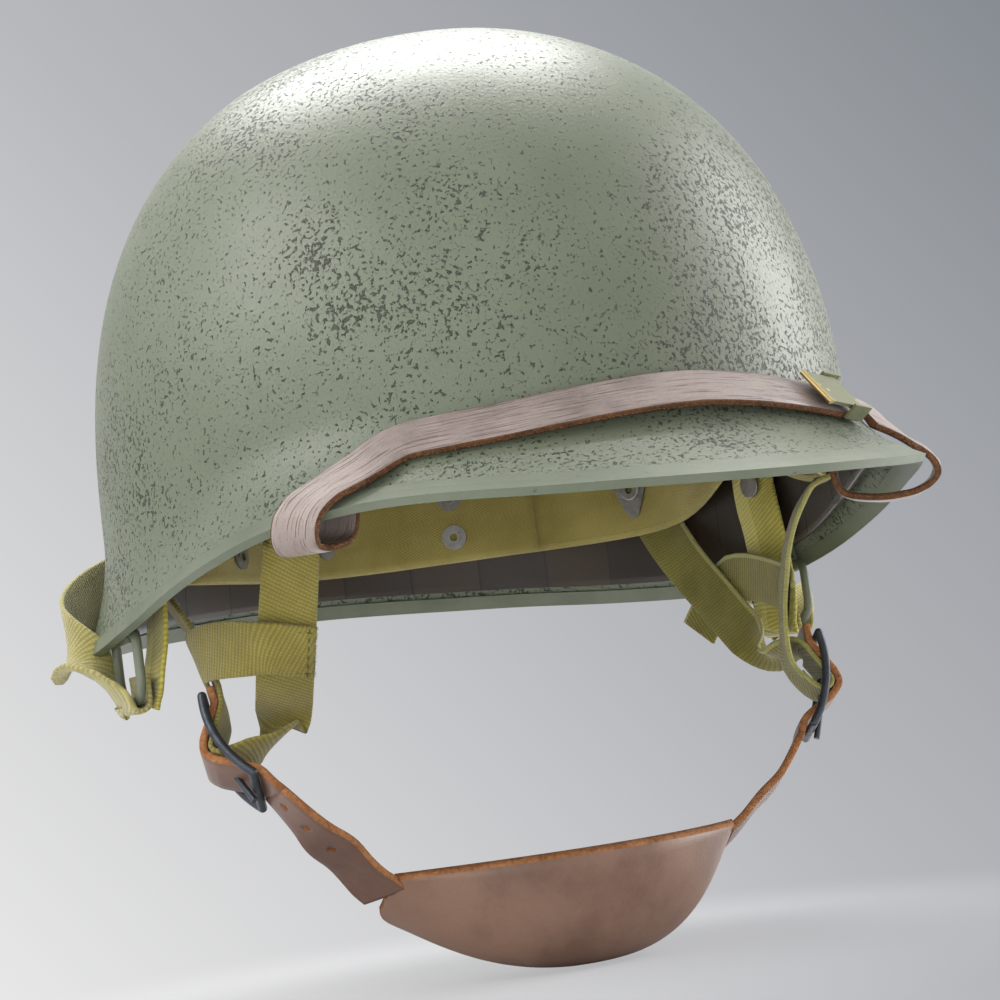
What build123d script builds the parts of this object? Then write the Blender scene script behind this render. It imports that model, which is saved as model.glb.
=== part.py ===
"""Airborne pattern steel pot helmet: a steel shell over a fibre liner, with web suspension,
a leather strap round the brim, two web yokes and a moulded leather chin cup.

Millimetres. +Z up, the wearer looks along -Y, the wearer's right is -X.
The origin is the centre of the head opening at the height of the head band.
Wall angles are in degrees from the front, positive towards the wearer's right.
"""

import os
from math import atan2, cos, degrees, hypot, pi, radians, sin, tan

from build123d import *

# Steel shell
crown_height = 143.6
shell_half_width = 113.8
shell_front_reach = 113.1
shell_rear_reach = 122.6
shell_centre_offset = 1.5
shell_wall = 1.1
rim_front_reach = 150.2
rim_drop = 29.6
flare_height = 16.0
flare_belly = 5.5
oval_power = 1.92
crown_power = 2.89
crown_power_front_share = -0.33
crown_power_rear_share = -0.48
crown_root = 2.15

# Edging strip folded over the rim
edging_wall = 0.5
edging_height = 3.8
edging_fit = 0.12
edging_seam = 0.6

# Fibre liner
liner_gap = 0.5
liner_wall = 2.2
liner_edge_rise = 5.0

# General clearances
soft_gap = 0.3
metal_gap = 0.15
cut_overrun = 2.0

# Bales: wire loops hinged inside the rim, which carry the shell's web straps
bale_wire_radius = 1.4
bale_barrel_wall = 0.8
bale_reach = 115.0
bale_height = -26.0
bale_width = 23.0
bale_drop = 19.0
bale_top_fillet = 3.0
bale_bottom_fillet = 7.5
bale_angle = 96.5
barrel_length = 15.0
barrel_tab_rise = 12.5

# Web straps of the shell
shell_web_width = 19.0
web_thickness = 1.4

# Suspension inside the liner
band_height = 31.0
band_bottom = -8.3
band_thickness = 1.6
band_dip = 8.0
nape_thickness = 1.4
nape_end_angle = 141.0
leg_width = 19.0
leg_thickness = 1.2
lace_radius = 2.0
lace_ring_radius = 21.8
lace_height = 106.0
leg_sag = 0.6
brow_rise = 9.0
ear_rise = 15.0
ear_angle = 90.0
ear_span = 15.0
anchor_angles = (0, 60, 122, 180, -122, -60)
anchor_height = 7.5
anchor_plate_height = 20.5
anchor_plate_width = 17.0
anchor_plate_wall = 0.8
anchor_corner = 2.6
anchor_bend = 42.0
rivet_head_radius = 3.6
rivet_head_rise = 1.1
rivet_bore_radius = 1.3
rivet_shank_radius = 2.2
snap_radius = 4.2
snap_rise = 1.1
snap_eye_radius = 2.3
snap_bore_radius = 1.3
snap_angle = 157.0
snap_low = 0.2
snap_pitch = 13.4

# Web yokes
yoke_web_width = 16.0
yoke_span = 98.5
yoke_depth = 50.0
yoke_drop = 62.5
crossbar_drop_share = 0.55

# Chin buckles
buckle_length = 29.0
buckle_inside_width = 17.2
buckle_wire_radius = 1.3
buckle_bow = 3.0
buckle_bar_radius = 1.1
prong_radius = 0.95
prong_eye_width = 3.0
prong_slot = 4.0
prong_overhang = 2.4

# Leather
chin_strap_width = 15.5
chin_leather = 2.2
brim_strap_width = 12.7
brim_leather = 2.0
cup_half_length = 58.0
cup_depth = 33.0
cup_forward = 24.0
cup_span_width = 52.0
cup_front_height = -104.0
cup_front_place = -23.0
cup_end_share = 0.3

# Strap studs on the liner
stud_radius = 4.2
stud_rise = 1.2

# Cam buckle of the brim strap
cam_angle = -30.0
cam_tail_angle = 39.0
cam_length = 10.0
cam_wall = 0.8
cam_lever_length = 20.0
cam_lever_wall = 1.0
cam_pin_radius = 1.0

# Wall tables: angles from the front, then shares of the rim's sizes and flare slopes in degrees
wall_angles = (0, 20, 40, 55, 70, 85, 100, 115, 130, 150, 180)
rim_reach_shares = (1.0, 0.967, 0.893, 0.849, 0.818, 0.798, 0.801, 0.823, 0.8415, 0.857, 0.872)
rim_height_shares = (-0.345, -0.29, -0.175, -0.247, -0.493, -0.774, -0.956, -1.0, -0.926, -0.784, -0.672)
flare_slopes = (22, 22, 28, 38, 52, 66, 68, 62, 58, 58, 58)
liner_flare_shares = (1.0, 1.0, 0.85, 0.5, 0.15, 0.0, 0.0, 0.0, 0.1, 0.2, 0.25)

crown_stations = (0.08, 0.17, 0.27, 0.38, 0.49, 0.6, 0.7, 0.8, 0.9, 1.0)
flare_shares = (0.2, 0.4, 0.6, 0.8, 1.0)
ring_points = 40


def along(values, angle):
    """Smooth value of a wall table at an angle, the same on both sides."""
    a = abs((angle + 180) % 360 - 180)
    last = len(wall_angles) - 1
    i = max(k for k in range(last) if wall_angles[k] <= a)
    step = wall_angles[i + 1] - wall_angles[i]
    x = (a - wall_angles[i]) / step

    def slope(k):
        if k in (0, last):
            return 0
        return (values[k + 1] - values[k - 1]) / (wall_angles[k + 1] - wall_angles[k - 1])

    low = values[i] * (1 + 2 * x) * (1 - x) ** 2 + slope(i) * step * x * (1 - x) ** 2
    high = values[i + 1] * x * x * (3 - 2 * x) + slope(i + 1) * step * x * x * (x - 1)
    return low + high


def polar(angle, reach, height):
    """Point at a wall angle, a distance out from the shell's axis and a height."""
    a = radians(angle)
    return Vector(-reach * sin(a), shell_centre_offset - reach * cos(a), height)


def outward(angle):
    return Vector(-sin(radians(angle)), -cos(radians(angle)), 0)


def sideways(angle):
    return Vector(-cos(radians(angle)), sin(radians(angle)), 0)


def dome_reach(angle, height=0):
    """Outer reach of the shell's dome, an oval that closes over the crown."""
    c, s = cos(radians(angle)), sin(radians(angle))
    along_reach = shell_front_reach if c > 0 else shell_rear_reach
    base = (abs(c / along_reach) ** oval_power + abs(s / shell_half_width) ** oval_power) ** (-1 / oval_power)
    extra_share = crown_power_front_share if c > 0 else crown_power_rear_share
    power = crown_power + extra_share * abs(c)
    return base * (1 - max(height / crown_height, 0) ** power) ** (1 / crown_root)


def rim_reach(angle):
    return rim_front_reach * along(rim_reach_shares, angle)


def rim_height(angle):
    return rim_drop * along(rim_height_shares, angle)


def wall_profile(angle, station):
    """Reach and height of the shell's outer wall: 0 at the crown, 1 where the flare starts, 2 at the rim."""
    reach, height = rim_reach(angle), rim_height(angle)
    slope = tan(radians(along(flare_slopes, angle)))
    base = dome_reach(angle)
    corner = height + (reach - base) * slope
    start = corner + flare_height
    if station <= 1:
        z = start + (crown_height - start) * cos(station * pi / 2)
        return dome_reach(angle, z), z
    u = station - 1
    belly_share = 0.45
    outer = base + (reach - base) * belly_share
    points = (
        (dome_reach(angle, start), start),
        (base, corner + flare_belly),
        (outer, height + (reach - outer) * slope),
        (reach, height),
    )
    weights = ((1 - u) ** 3, 3 * u * (1 - u) ** 2, 3 * u * u * (1 - u), u**3)
    return tuple(sum(w * p[k] for w, p in zip(weights, points)) for k in (0, 1))


def station_at(angle, height):
    """Station on the flare at which the shell's outer wall has a height."""
    low, high = 1.0, 2.0
    for _ in range(30):
        middle = (low + high) / 2
        if wall_profile(angle, middle)[1] > height:
            low = middle
        else:
            high = middle
    return low


def shell_reach(angle, height):
    """Outer reach of the shell at any height above its rim."""
    start = wall_profile(angle, 1)[1]
    if height >= start:
        return dome_reach(angle, height)
    return wall_profile(angle, station_at(angle, height))[0]


def shell_surface(angle, station):
    return polar(angle, *wall_profile(angle, station))


def liner_surface(angle, station):
    """The shell's wall with its flare drawn in at the sides and back, and cut off above the rim."""
    if station <= 1:
        return polar(angle, *wall_profile(angle, station))
    end = station_at(angle, rim_height(angle) + liner_edge_rise)
    reach, height = wall_profile(angle, 1 + (station - 1) * (end - 1))
    base = dome_reach(angle, height)
    flare_share = along(liner_flare_shares, angle)
    share = 1 - (1 - flare_share) * min(1, (station - 1) * 2)
    return polar(angle, base + (reach - base) * share, height)


def inset_point(surface, angle, station, inset):
    """Point of a wall surface moved in along its normal."""
    step = 0.002
    middle = min(max(station, step), 2 - step)
    along_wall = surface(angle, middle + step) - surface(angle, middle - step)
    round_wall = surface(angle + step, middle) - surface(angle - step, middle)
    normal = along_wall.cross(round_wall).normalized()
    point = surface(angle, station)
    axis_point = Vector(0, shell_centre_offset, 0)
    if normal.dot(point - axis_point) < 0:
        normal = -normal
    return point - normal * inset


def ring(surface, station, inset):
    points = [inset_point(surface, 360 * k / ring_points, station, inset) for k in range(ring_points)]
    return Wire([even_spline(points, True)])


def even_spline(points, closed):
    """Spline with evenly spaced parameters, so that neighbouring sections match."""
    count = len(points) + (1 if closed else 0)
    return Edge.make_spline(points, periodic=closed, parameters=[k / (count - 1) for k in range(count)])


def skin(surface, inset):
    """Open lofted skin from the crown to the edge."""
    stations = list(crown_stations) + [1 + share for share in flare_shares]
    crown = Vertex(0, shell_centre_offset, crown_height - inset)
    return Shell.make_loft([crown] + [ring(surface, s, inset) for s in stations])


def bowl(surface, outer_inset, inner_inset):
    """Closed bowl between two skins, with a narrow face round its edge."""
    edge = Shell.make_loft([ring(surface, 2, outer_inset), ring(surface, 2, inner_inset)], True)
    faces = list(skin(surface, outer_inset).faces()) + list(skin(surface, inner_inset).faces())
    return Solid(Shell(faces + list(edge.faces())))


def smooth_points(points, steps):
    """Points of a smooth curve through the given ones, with steps between each pair."""
    spans = [(b - a).length for a, b in zip(points, points[1:])]
    last = len(points) - 1

    def slope(k):
        before, after = max(k - 1, 0), min(k + 1, last)
        return (points[after] - points[before]) / sum(spans[before:after])

    result = []
    for i in range(last):
        for j in range(steps):
            x = j / steps
            point = points[i] * ((1 + 2 * x) * (1 - x) ** 2) + points[i + 1] * (x * x * (3 - 2 * x))
            point = point + slope(i) * (spans[i] * x * (1 - x) ** 2)
            result.append(point + slope(i + 1) * (spans[i] * x * x * (x - 1)))
    return result + [points[-1]]


def ribbon_frames(stations, steps):
    """Centre, direction along the width and direction of the route at each section of a strap."""
    sides = [Vector(stations[0][1]).normalized()]
    for _, across in stations[1:]:
        side = Vector(across).normalized()
        sides.append(side if side.dot(sides[-1]) > 0 else -side)
    centres = smooth_points([Vector(c) for c, _ in stations], steps)
    sides = [a * (1 - j / steps) + b * (j / steps) for a, b in zip(sides, sides[1:]) for j in range(steps)] + sides[-1:]
    frames = []
    for i, side in enumerate(sides):
        before = centres[max(i - 1, 0)]
        after = centres[min(i + 1, len(centres) - 1)]
        route = (after - before).normalized()
        frames.append((centres[i], (side - route * side.dot(route)).normalized(), route))
    return frames


def ribbon(stations, width, thickness, steps=2):
    """Strap through stations of (centre, across): a loft of thin rectangles square to the route."""
    sections = []
    for centre, side, route in ribbon_frames(stations, steps):
        half, depth = side * (width / 2), route.cross(side) * (thickness / 2)
        corners = [centre + half + depth, centre - half + depth, centre - half - depth, centre + half - depth]
        sections.append(Wire.make_polygon(corners, close=True))
    return Solid.make_loft(sections, True)


def mirrored(solid):
    return solid.mirror(Plane.YZ)


def tube(path, radius):
    return sweep(Plane(path @ 0, z_dir=path % 0) * Circle(radius), path=path)


# Shell, edging and liner


def make_shell():
    return bowl(shell_surface, 0, shell_wall)


def edging_outline(angle):
    """U section of the edging at a wall angle, following the wall on both faces."""
    stations = [2, station_at(angle, rim_height(angle) + edging_height / 2)]
    stations.append(station_at(angle, rim_height(angle) + edging_height))
    down = (shell_surface(angle, 2) - shell_surface(angle, 1.99)).normalized()
    outline = []
    for depth, drop, order in (
        (-edging_fit - edging_wall, edging_fit + edging_wall, reversed(stations)),
        (shell_wall + edging_fit + edging_wall, edging_fit + edging_wall, stations),
        (shell_wall + edging_fit, edging_fit, reversed(stations)),
        (-edging_fit, edging_fit, stations),
    ):
        for station in order:
            point = inset_point(shell_surface, angle, station, depth)
            outline.append(point + down * drop if station == 2 else point)
    return outline


def make_edging():
    """Folded strip over the rim, open at its seam behind the head."""
    turns = 72
    angles = [-180 + edging_seam + (360 - 2 * edging_seam) * k / turns for k in range(turns + 1)]
    outlines = [edging_outline(angle) for angle in angles]
    curves = [Wire([even_spline([o[k] for o in outlines], False)]) for k in range(len(outlines[0]))]
    faces = []
    for k in range(len(curves)):
        faces += list(Shell.make_loft([curves[k], curves[(k + 1) % len(curves)]], True).faces())
    half = len(curves) // 2
    for outline in (outlines[0], outlines[-1]):
        chains = [Wire.make_polygon(c, close=False) for c in (outline[:half], outline[half:][::-1])]
        faces += list(Shell.make_loft(chains, True).faces())
    return Solid(Shell(faces))


def make_liner():
    outer = shell_wall + liner_gap
    return bowl(liner_surface, outer, outer + liner_wall)


liner_inset = shell_wall + liner_gap + liner_wall


def dome_inside(angle, height):
    """Reach of the liner's inner face where it is still part of the dome."""
    return dome_reach(angle, height) - liner_inset


def liner_inside(angle, height):
    """Reach of the liner's inner face at any height above its edge."""
    low, high = 0.5, 1.95
    for _ in range(14):
        middle = (low + high) / 2
        if inset_point(liner_surface, angle, middle, liner_inset).Z > height:
            low = middle
        else:
            high = middle
    point = inset_point(liner_surface, angle, low, liner_inset)
    return hypot(point.X, point.Y - shell_centre_offset)


def wall_side(angle):
    """Level direction along the dome's wall."""
    before, after = [polar(angle + d, dome_reach(angle + d), 0) for d in (-1, 1)]
    return (after - before).normalized()


def wall_top(angle):
    """Height of the head band's upper edge away from the ears."""
    return band_bottom + band_height + brow_rise * ((1 + cos(radians(angle))) / 2) ** 3


# Bales and their welded barrels


def bale_plane():
    """X runs back along the wall, Y points down, Z points out, at the hinge on the wearer's right."""
    origin = polar(bale_angle, bale_reach, bale_height)
    return Plane(origin, x_dir=sideways(bale_angle), z_dir=outward(bale_angle))


def make_bale():
    half = bale_width / 2
    corners = ((-half, 0), (half, 0), (half, bale_drop), (-half, bale_drop))
    outline = Polyline(*corners, close=True)
    face = make_face(outline)
    face = fillet(face.vertices().sort_by(Axis.Y)[:2], bale_top_fillet)
    face = fillet(face.vertices().sort_by(Axis.Y)[-2:], bale_bottom_fillet)
    path = bale_plane() * face.faces()[0].outer_wire()
    return tube(path, bale_wire_radius)


def make_barrel():
    """Sheet rolled round the bale's top wire, with a tab that is welded to the wall."""
    plane = bale_plane()
    bore = bale_wire_radius + metal_gap
    outer = bore + bale_barrel_wall
    across = Plane(plane.origin, x_dir=plane.z_dir, z_dir=plane.x_dir)
    roll = across * (Circle(outer) - Circle(bore))
    roll = extrude(roll, barrel_length / 2, both=True)
    clear_low, clear_high = 0.72, 0.6
    stations = []
    for share, place in ((0.0, clear_low), (0.35, clear_low), (0.7, clear_high), (1.0, clear_high)):
        height = bale_height + bore + bale_barrel_wall / 2 + barrel_tab_rise * share
        free_in = dome_reach(bale_angle) - shell_wall - liner_gap
        free_out = shell_reach(bale_angle, height) - shell_wall
        stations.append((polar(bale_angle, free_in + (free_out - free_in) * place, height), plane.x_dir))
    tab = ribbon(stations, barrel_length, bale_barrel_wall)
    bore_rod = extrude(across * Circle(bore), barrel_length, both=True)
    return (roll + tab) - bore_rod


# Web straps of the shell


def web_station(angle, reach, height, lean):
    """Centre and across direction of a web: lean 0 lies along the wall, 90 stands up."""
    side = sideways(angle) * cos(radians(lean)) + Vector(0, 0, sin(radians(lean)))
    return polar(angle, reach, height), side


# Wall angle, reach as a share of the bale's reach, height as a share of the bale's lowest point, lean
shell_web_shares = (
    (97.4, 1.034, 0.955, 3),
    (99.0, 1.055, 0.87, 10),
    (102, 1.080, 0.77, 22),
    (107, 1.102, 0.64, 40),
    (113, 1.110, 0.49, 56),
    (120, 1.096, 0.335, 68),
    (129, 1.073, 0.20, 77),
    (141, 1.070, 0.08, 83),
    (155, 1.086, -0.01, 87),
    (166, 1.100, -0.05, 90),
)


def web_seat(angle, height, table_reach):
    """Reach at which a standing web lies on the shell."""
    half = shell_web_width / 2
    touch = max(shell_reach(angle, height + half * k / 4) for k in range(-4, 5))
    return max(table_reach, touch + 2 * soft_gap + web_thickness / 2)


def make_shell_strap(end_angle):
    """Web round the bale's bottom wire, out under the rim and back round the shell."""
    low = bale_height - bale_drop
    loop = bale_wire_radius + 2 * soft_gap + web_thickness / 2
    stations = [web_station(bale_angle, bale_reach - loop, low + bale_bottom_fillet, 0)]
    for around in (180, 225, 270, 315, 360):
        a = radians(around)
        stations.append(web_station(bale_angle, bale_reach + loop * cos(a), low + loop * sin(a), 0))
    last_reach = last_height = 0
    for angle, reach, height, lean in shell_web_shares:
        last_height = height * low
        last_reach = reach * bale_reach
        if lean > 70:
            last_reach = web_seat(angle, last_height, last_reach)
        stations.append(web_station(angle, last_reach, last_height, lean))
    turn = buckle_bar_radius + soft_gap + web_thickness / 2 + soft_gap / 2
    last_reach = web_seat(end_angle, last_height, last_reach)
    for around in (0, 45, 90, 135, 180):
        angle = end_angle + degrees(turn * sin(radians(around)) / last_reach)
        reach = last_reach + turn - turn * cos(radians(around))
        stations.append(web_station(angle, reach, last_height, 90))
    stations.append(web_station(end_angle - 4, last_reach + 2 * turn, last_height, 90))
    return ribbon(stations, shell_web_width, web_thickness)


def rear_bar_place(end_angle):
    """Centre of the bar that a rear web end turns round."""
    turn = buckle_bar_radius + soft_gap + web_thickness / 2 + soft_gap / 2
    height = shell_web_shares[-1][2] * (bale_height - bale_drop)
    reach = web_seat(end_angle, height, shell_web_shares[-1][1] * bale_reach)
    return polar(end_angle, reach + turn, height)


rear_buckle_angle = 173.5
rear_frame_fillet = 3.0


def make_rear_buckle():
    """Wire frame that joins the two webs behind the head."""
    near = rear_bar_place(rear_buckle_angle)
    far = rear_bar_place(-rear_buckle_angle)
    middle = (near + far) / 2
    half_length = (near - far).length / 2
    half_height = shell_web_width / 2 + soft_gap + buckle_bar_radius
    plane = Plane(middle, x_dir=Vector(1, 0, 0), z_dir=Vector(0, 1, 0))
    face = make_face(Polyline(
        (-half_length, -half_height), (half_length, -half_height),
        (half_length, half_height), (-half_length, half_height), close=True,
    ))
    face = fillet(face.vertices(), rear_frame_fillet)
    return tube(plane * face.faces()[0].outer_wire(), buckle_bar_radius)


# Snap tabs, from the bale's web up to the liner's wall: x, y and height as shares
tab_shares = (
    (0.953, 0.121, 1.03),
    (0.945, 0.112, 0.93),
    (0.940, 0.090, 0.80),
    (0.931, 0.075, 0.64),
    (0.924, 0.070, 0.44),
    (0.918, 0.075, 0.24),
    (0.922, 0.095, 0.02),
    (0.922, 0.095, -0.17),
)


def make_tab():
    low = bale_height - bale_drop
    side = wall_side(bale_angle)
    stations = [(Vector(-x * bale_reach, y * bale_reach, z * low), side) for x, y, z in tab_shares]
    return ribbon(stations, shell_web_width, web_thickness)


# Suspension


def anchor_stack(angle):
    """How far the band's outer face stands from the liner at its anchors."""
    plain = 2 * soft_gap + leg_thickness + leg_sag
    return plain + (web_thickness + 2 * soft_gap if abs(angle) in anchor_angles[1:3] else 0)


def band_reach(angle, depth):
    """Reach of the head band, drawn to the wall at its anchors and dipping between them."""
    a = (angle + 180) % 360 - 180
    stops = sorted(anchor_angles) + [sorted(anchor_angles)[0] + 360]
    a = a + 360 if a < stops[0] else a
    k = max(i for i in range(len(anchor_angles)) if stops[i] <= a)
    first, last = stops[k], stops[k + 1]
    x = (a - first) / (last - first)
    last_angle = last - 360 if last > 180 else last
    stack = anchor_stack(first) + (anchor_stack(last_angle) - anchor_stack(first)) * x
    dip = band_dip * sin(pi * x) ** 2
    return dome_inside(angle, wall_top(angle)) - stack - dip - depth


def band_rise(angle):
    """The band's lower edge climbs over the brow and over the ears."""
    brow = brow_rise * ((1 + cos(radians(angle))) / 2) ** 3
    side = abs((angle + 180) % 360 - 180)
    return brow + ear_rise * 2.718 ** (-(((side - ear_angle) / ear_span) ** 2))


def upright_strip(reaches, low, height, angles, closed):
    """Upright strip of cloth along a curve, as four lofted sides."""
    rows = []
    for reach, rise in ((reaches[0], 0), (reaches[0], height), (reaches[1], height), (reaches[1], 0)):
        rows.append(Wire([even_spline([polar(a, reach(a), low(a) + rise) for a in angles], closed)]))
    faces = []
    for k in range(4):
        faces += list(Shell.make_loft([rows[k], rows[(k + 1) % 4]], True).faces())
    if not closed:
        for a in (angles[0], angles[-1]):
            outline = [polar(a, reaches[0](a), low(a)), polar(a, reaches[0](a), low(a) + height)]
            outline += [polar(a, reaches[1](a), low(a) + height), polar(a, reaches[1](a), low(a))]
            faces.append(Face(Wire.make_polygon(outline, close=True)))
    return Solid(Shell(faces))


def band_low(angle):
    return band_bottom + band_rise(angle)


def nape_low(angle):
    return band_low(angle) + soft_gap


def make_band():
    angles = [360 * k / 60 for k in range(60)]
    reaches = (lambda a: band_reach(a, 0), lambda a: band_reach(a, band_thickness))
    band = upright_strip(reaches, band_low, band_height, angles, True)
    for angle in anchor_angles:
        band = band - anchor_hole(angle)
    return band


def make_nape_band():
    span = 360 - 2 * nape_end_angle
    angles = [nape_end_angle + span * k / 20 for k in range(21)]
    inner = band_thickness + soft_gap
    reaches = (lambda a: band_reach(a, inner), lambda a: band_reach(a, inner + nape_thickness))
    strip = upright_strip(reaches, nape_low, band_height - 2 * soft_gap, angles, False)
    return strip - anchor_hole(180)


def anchor_place(angle):
    return anchor_height + brow_rise * ((1 + cos(radians(angle))) / 2) ** 3


def leg_stations(angle, slot):
    """Centre line of a crown leg: up the liner from its anchor and over the lace."""
    depth = leg_sag + leg_thickness / 2 + (web_thickness + 2 * soft_gap if slot not in (0, 3) else 0)
    start = dome_inside(angle, wall_top(angle)) - depth
    foot = anchor_place(angle) - anchor_plate_height / 2
    shoulder = wall_top(angle) + 2 * soft_gap
    middle = (foot + shoulder) / 2
    stations = [(polar(angle, start, foot), wall_side(angle)), (polar(angle, start, middle), wall_side(angle))]
    stations.append((polar(angle, start - soft_gap, shoulder), wall_side(angle)))
    turn = lace_radius + soft_gap + leg_thickness / 2
    crown_angle = 60 * slot if slot <= 3 else 60 * slot - 360
    top = lace_height + turn
    for u in (0.2, 0.4, 0.6, 0.8, 1.0):
        here = angle + (crown_angle - angle) * u
        reach = lace_ring_radius + (start - lace_ring_radius) * cos(u * pi / 2)
        height = shoulder + (top - shoulder) * sin(u * pi / 2)
        stations.append((polar(here, reach, height), sideways(here)))
    for around in (45, 90, 135, 180):
        reach = lace_ring_radius - turn * sin(radians(around))
        height = lace_height + turn * cos(radians(around))
        stations.append((polar(crown_angle, reach, height), sideways(crown_angle)))
    tail = polar(crown_angle, lace_ring_radius + leg_width / 2, lace_height - turn)
    stations.append((tail, sideways(crown_angle)))
    return stations


def make_leg(angle, slot):
    return ribbon(leg_stations(angle, slot), leg_width, leg_thickness) - anchor_hole(angle)


def make_lace():
    """Cord through the loops: a hexagon with round corners."""
    corner = lace_ring_radius / cos(pi / 6)
    points = [(corner * sin(pi * (2 * k + 1) / 6), -corner * cos(pi * (2 * k + 1) / 6)) for k in range(6)]
    face = make_face(Polyline(*points, close=True))
    face = fillet(face.vertices(), 2 * lace_radius)
    path = Plane((0, shell_centre_offset, lace_height)) * face.faces()[0].outer_wire()
    return tube(path, lace_radius)


def wall_plane(angle, reach, height):
    """Plane on the inside of a wall: Z points in to the head, Y up."""
    inward = wall_side(angle).cross(Vector(0, 0, 1)).normalized()
    if inward.dot(outward(angle)) > 0:
        inward = -inward
    return Plane(polar(angle, reach, height), x_dir=Vector(0, 0, 1).cross(inward), z_dir=inward)


def plate_reach(angle):
    """Reach of the face that an anchor's plate lies on."""
    cloth = band_thickness + (soft_gap + nape_thickness if abs(angle) > nape_end_angle else 0)
    return band_reach(angle, cloth) - metal_gap


def make_anchor(angle):
    """Three cornered plate, bent to the band, with its hollow rivet through to the liner."""
    height = anchor_place(angle)
    plane = wall_plane(angle, plate_reach(angle), height)
    top = anchor_plate_height * 0.33
    tip = anchor_plate_height - top
    half = anchor_plate_width / 2
    prism = make_face(Polyline((-half, top), (half, top), (0, -tip), close=True))
    prism = extrude(fillet(prism.vertices(), anchor_corner), half, both=True)
    bend = Plane.XZ * (Circle(anchor_bend) - Circle(anchor_bend - anchor_plate_wall))
    bend = Pos(0, 0, anchor_bend) * extrude(bend, anchor_plate_height, both=True)
    near = Pos(0, 0, half / 2) * Box(anchor_plate_height, 2 * anchor_plate_height, 2 * half)
    plate = prism & (bend & near)
    head = extrude(Circle(rivet_head_radius), anchor_plate_wall + rivet_head_rise)
    head = fillet(head.edges().sort_by(Axis.Z)[-1:], rivet_head_rise / 2)
    length = liner_inside(angle, height) - plate_reach(angle) - soft_gap
    shank = Pos(0, 0, -length) * extrude(Circle(rivet_shank_radius), length)
    top_face = anchor_plate_wall + rivet_head_rise
    bore = Pos(0, 0, top_face - length) * extrude(Circle(rivet_bore_radius), length)
    return plane * (plate + head + shank - bore)


def anchor_hole(angle):
    """Rod that clears a rivet's shank out of the cloth."""
    height = anchor_place(angle)
    plane = wall_plane(angle, plate_reach(angle), height)
    reach = band_dip + band_thickness
    return plane * Pos(0, 0, -reach) * extrude(Circle(rivet_shank_radius + metal_gap), 2 * reach)


def make_nape_snap(angle, height):
    """Crimped ring of a snap, seated on the nape band."""
    depth = band_thickness + soft_gap + nape_thickness
    step = 0.5
    before, after = [polar(angle + d, band_reach(angle + d, depth), height) for d in (-step, step)]
    inward = (after - before).cross(Vector(0, 0, 1)).normalized()
    if inward.dot(outward(angle)) > 0:
        inward = -inward
    place = polar(angle, band_reach(angle, depth), height) + inward * metal_gap
    plane = Plane(place, x_dir=Vector(0, 0, 1).cross(inward), z_dir=inward)
    ring_solid = extrude(Circle(snap_radius), snap_rise / 2) + extrude(Circle(snap_eye_radius), snap_rise)
    return plane * (ring_solid - extrude(Circle(snap_bore_radius), snap_rise))


# Yokes. Each table lists shares of the yoke's span, depth and drop, then the across direction
front_leg_right_shares = (
    (-0.914, -1.02, -0.138, (0.55, -0.83, 0)),
    (-0.893, -0.78, -0.44, (0.8, -0.6, 0)),
    (-0.873, -0.56, -0.704, (0.85, -0.5, -0.1)),
)
rear_leg_right_shares = (
    (-0.984, 0.10, -0.47, (0.4, 0.88, -0.2)),
    (-0.99, 0.50, -0.25, (0.3, 0.95, 0)),
)
front_leg_left_shares = (
    (0.925, -0.95, -0.10, (0.5, 0.87, 0)),
    (0.895, -0.66, -0.30, (0.5, 0.87, 0)),
    (0.893, -0.44, -0.60, (0.5, 0.87, 0)),
    (0.914, -0.34, -0.84, (0.5, 0.87, -0.1)),
)
rear_leg_left_shares = (
    (0.970, 0.24, -0.740, (-0.3, 0.72, -0.62)),
    (0.965, 0.52, -0.528, (-0.3, 0.75, -0.6)),
    (0.960, 0.80, -0.312, (-0.35, 0.8, -0.45)),
)
# Route of the web and of the strap through the buckle, as shares of the buckle's half length
web_in_right_shares = (
    (-0.2, -0.3, -1.15, (0.5, -0.8, 0.15)),
    (0.20, -0.14, -0.72, (0.05, -0.9, 0.42)),
    (0.235, 0, -0.2, (-0.41, -0.75, 0.52)),
)
web_in_left_shares = (
    (-0.25, 0, -0.38, (0.42, 0.87, -0.25)),
    (0.02, 0, -0.10, (0.42, 0.87, -0.25)),
    (0.13, 0, 0.08, (0.42, 0.87, -0.25)),
)
web_out_right_shares = ((-0.56, 0, -0.09), (-0.77, 0, -0.262), (-0.96, 0, -0.34), (-1.2, 0, -0.42))
web_out_left_shares = ((-0.56, 0, -0.09), (-0.75, 0.05, -0.26), (-0.82, 0.35, -0.50), (-0.85, 0.85, -0.85))
strap_in_buckle_shares = (
    (1.75, -0.22), (1.24, -0.25), (1.0, -0.205), (0.85, -0.15), (0.655, 0.02), (0.30, 0.365), (0.205, 0.435), (0, 0.515),
    (-0.205, 0.435), (-0.30, 0.365), (-0.655, 0.02), (-0.85, -0.15), (-1.0, -0.205), (-1.12, -0.23), (-1.22, -0.25),
)


def yoke_point(x, y, z):
    return Vector(x * yoke_span, y * yoke_depth, z * yoke_drop)


def buckle_plane(side):
    """X runs down the chin strap, Z points away from the face: side -1 is the wearer's right."""
    if side < 0:
        origin = yoke_point(-1, -0.29, -1)
        down, bar = Vector(0.15, -0.62, -0.77), Vector(0.41, 0.75, -0.52)
    else:
        origin = yoke_point(1, -0.32, -1.05)
        down, bar = Vector(-0.31, -0.12, -0.94), Vector(0.42, 0.87, -0.25)
    out = down.cross(bar).normalized()
    if out.X * side < 0:
        out = -out
    return Plane(origin, x_dir=down.normalized(), z_dir=out)


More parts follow.
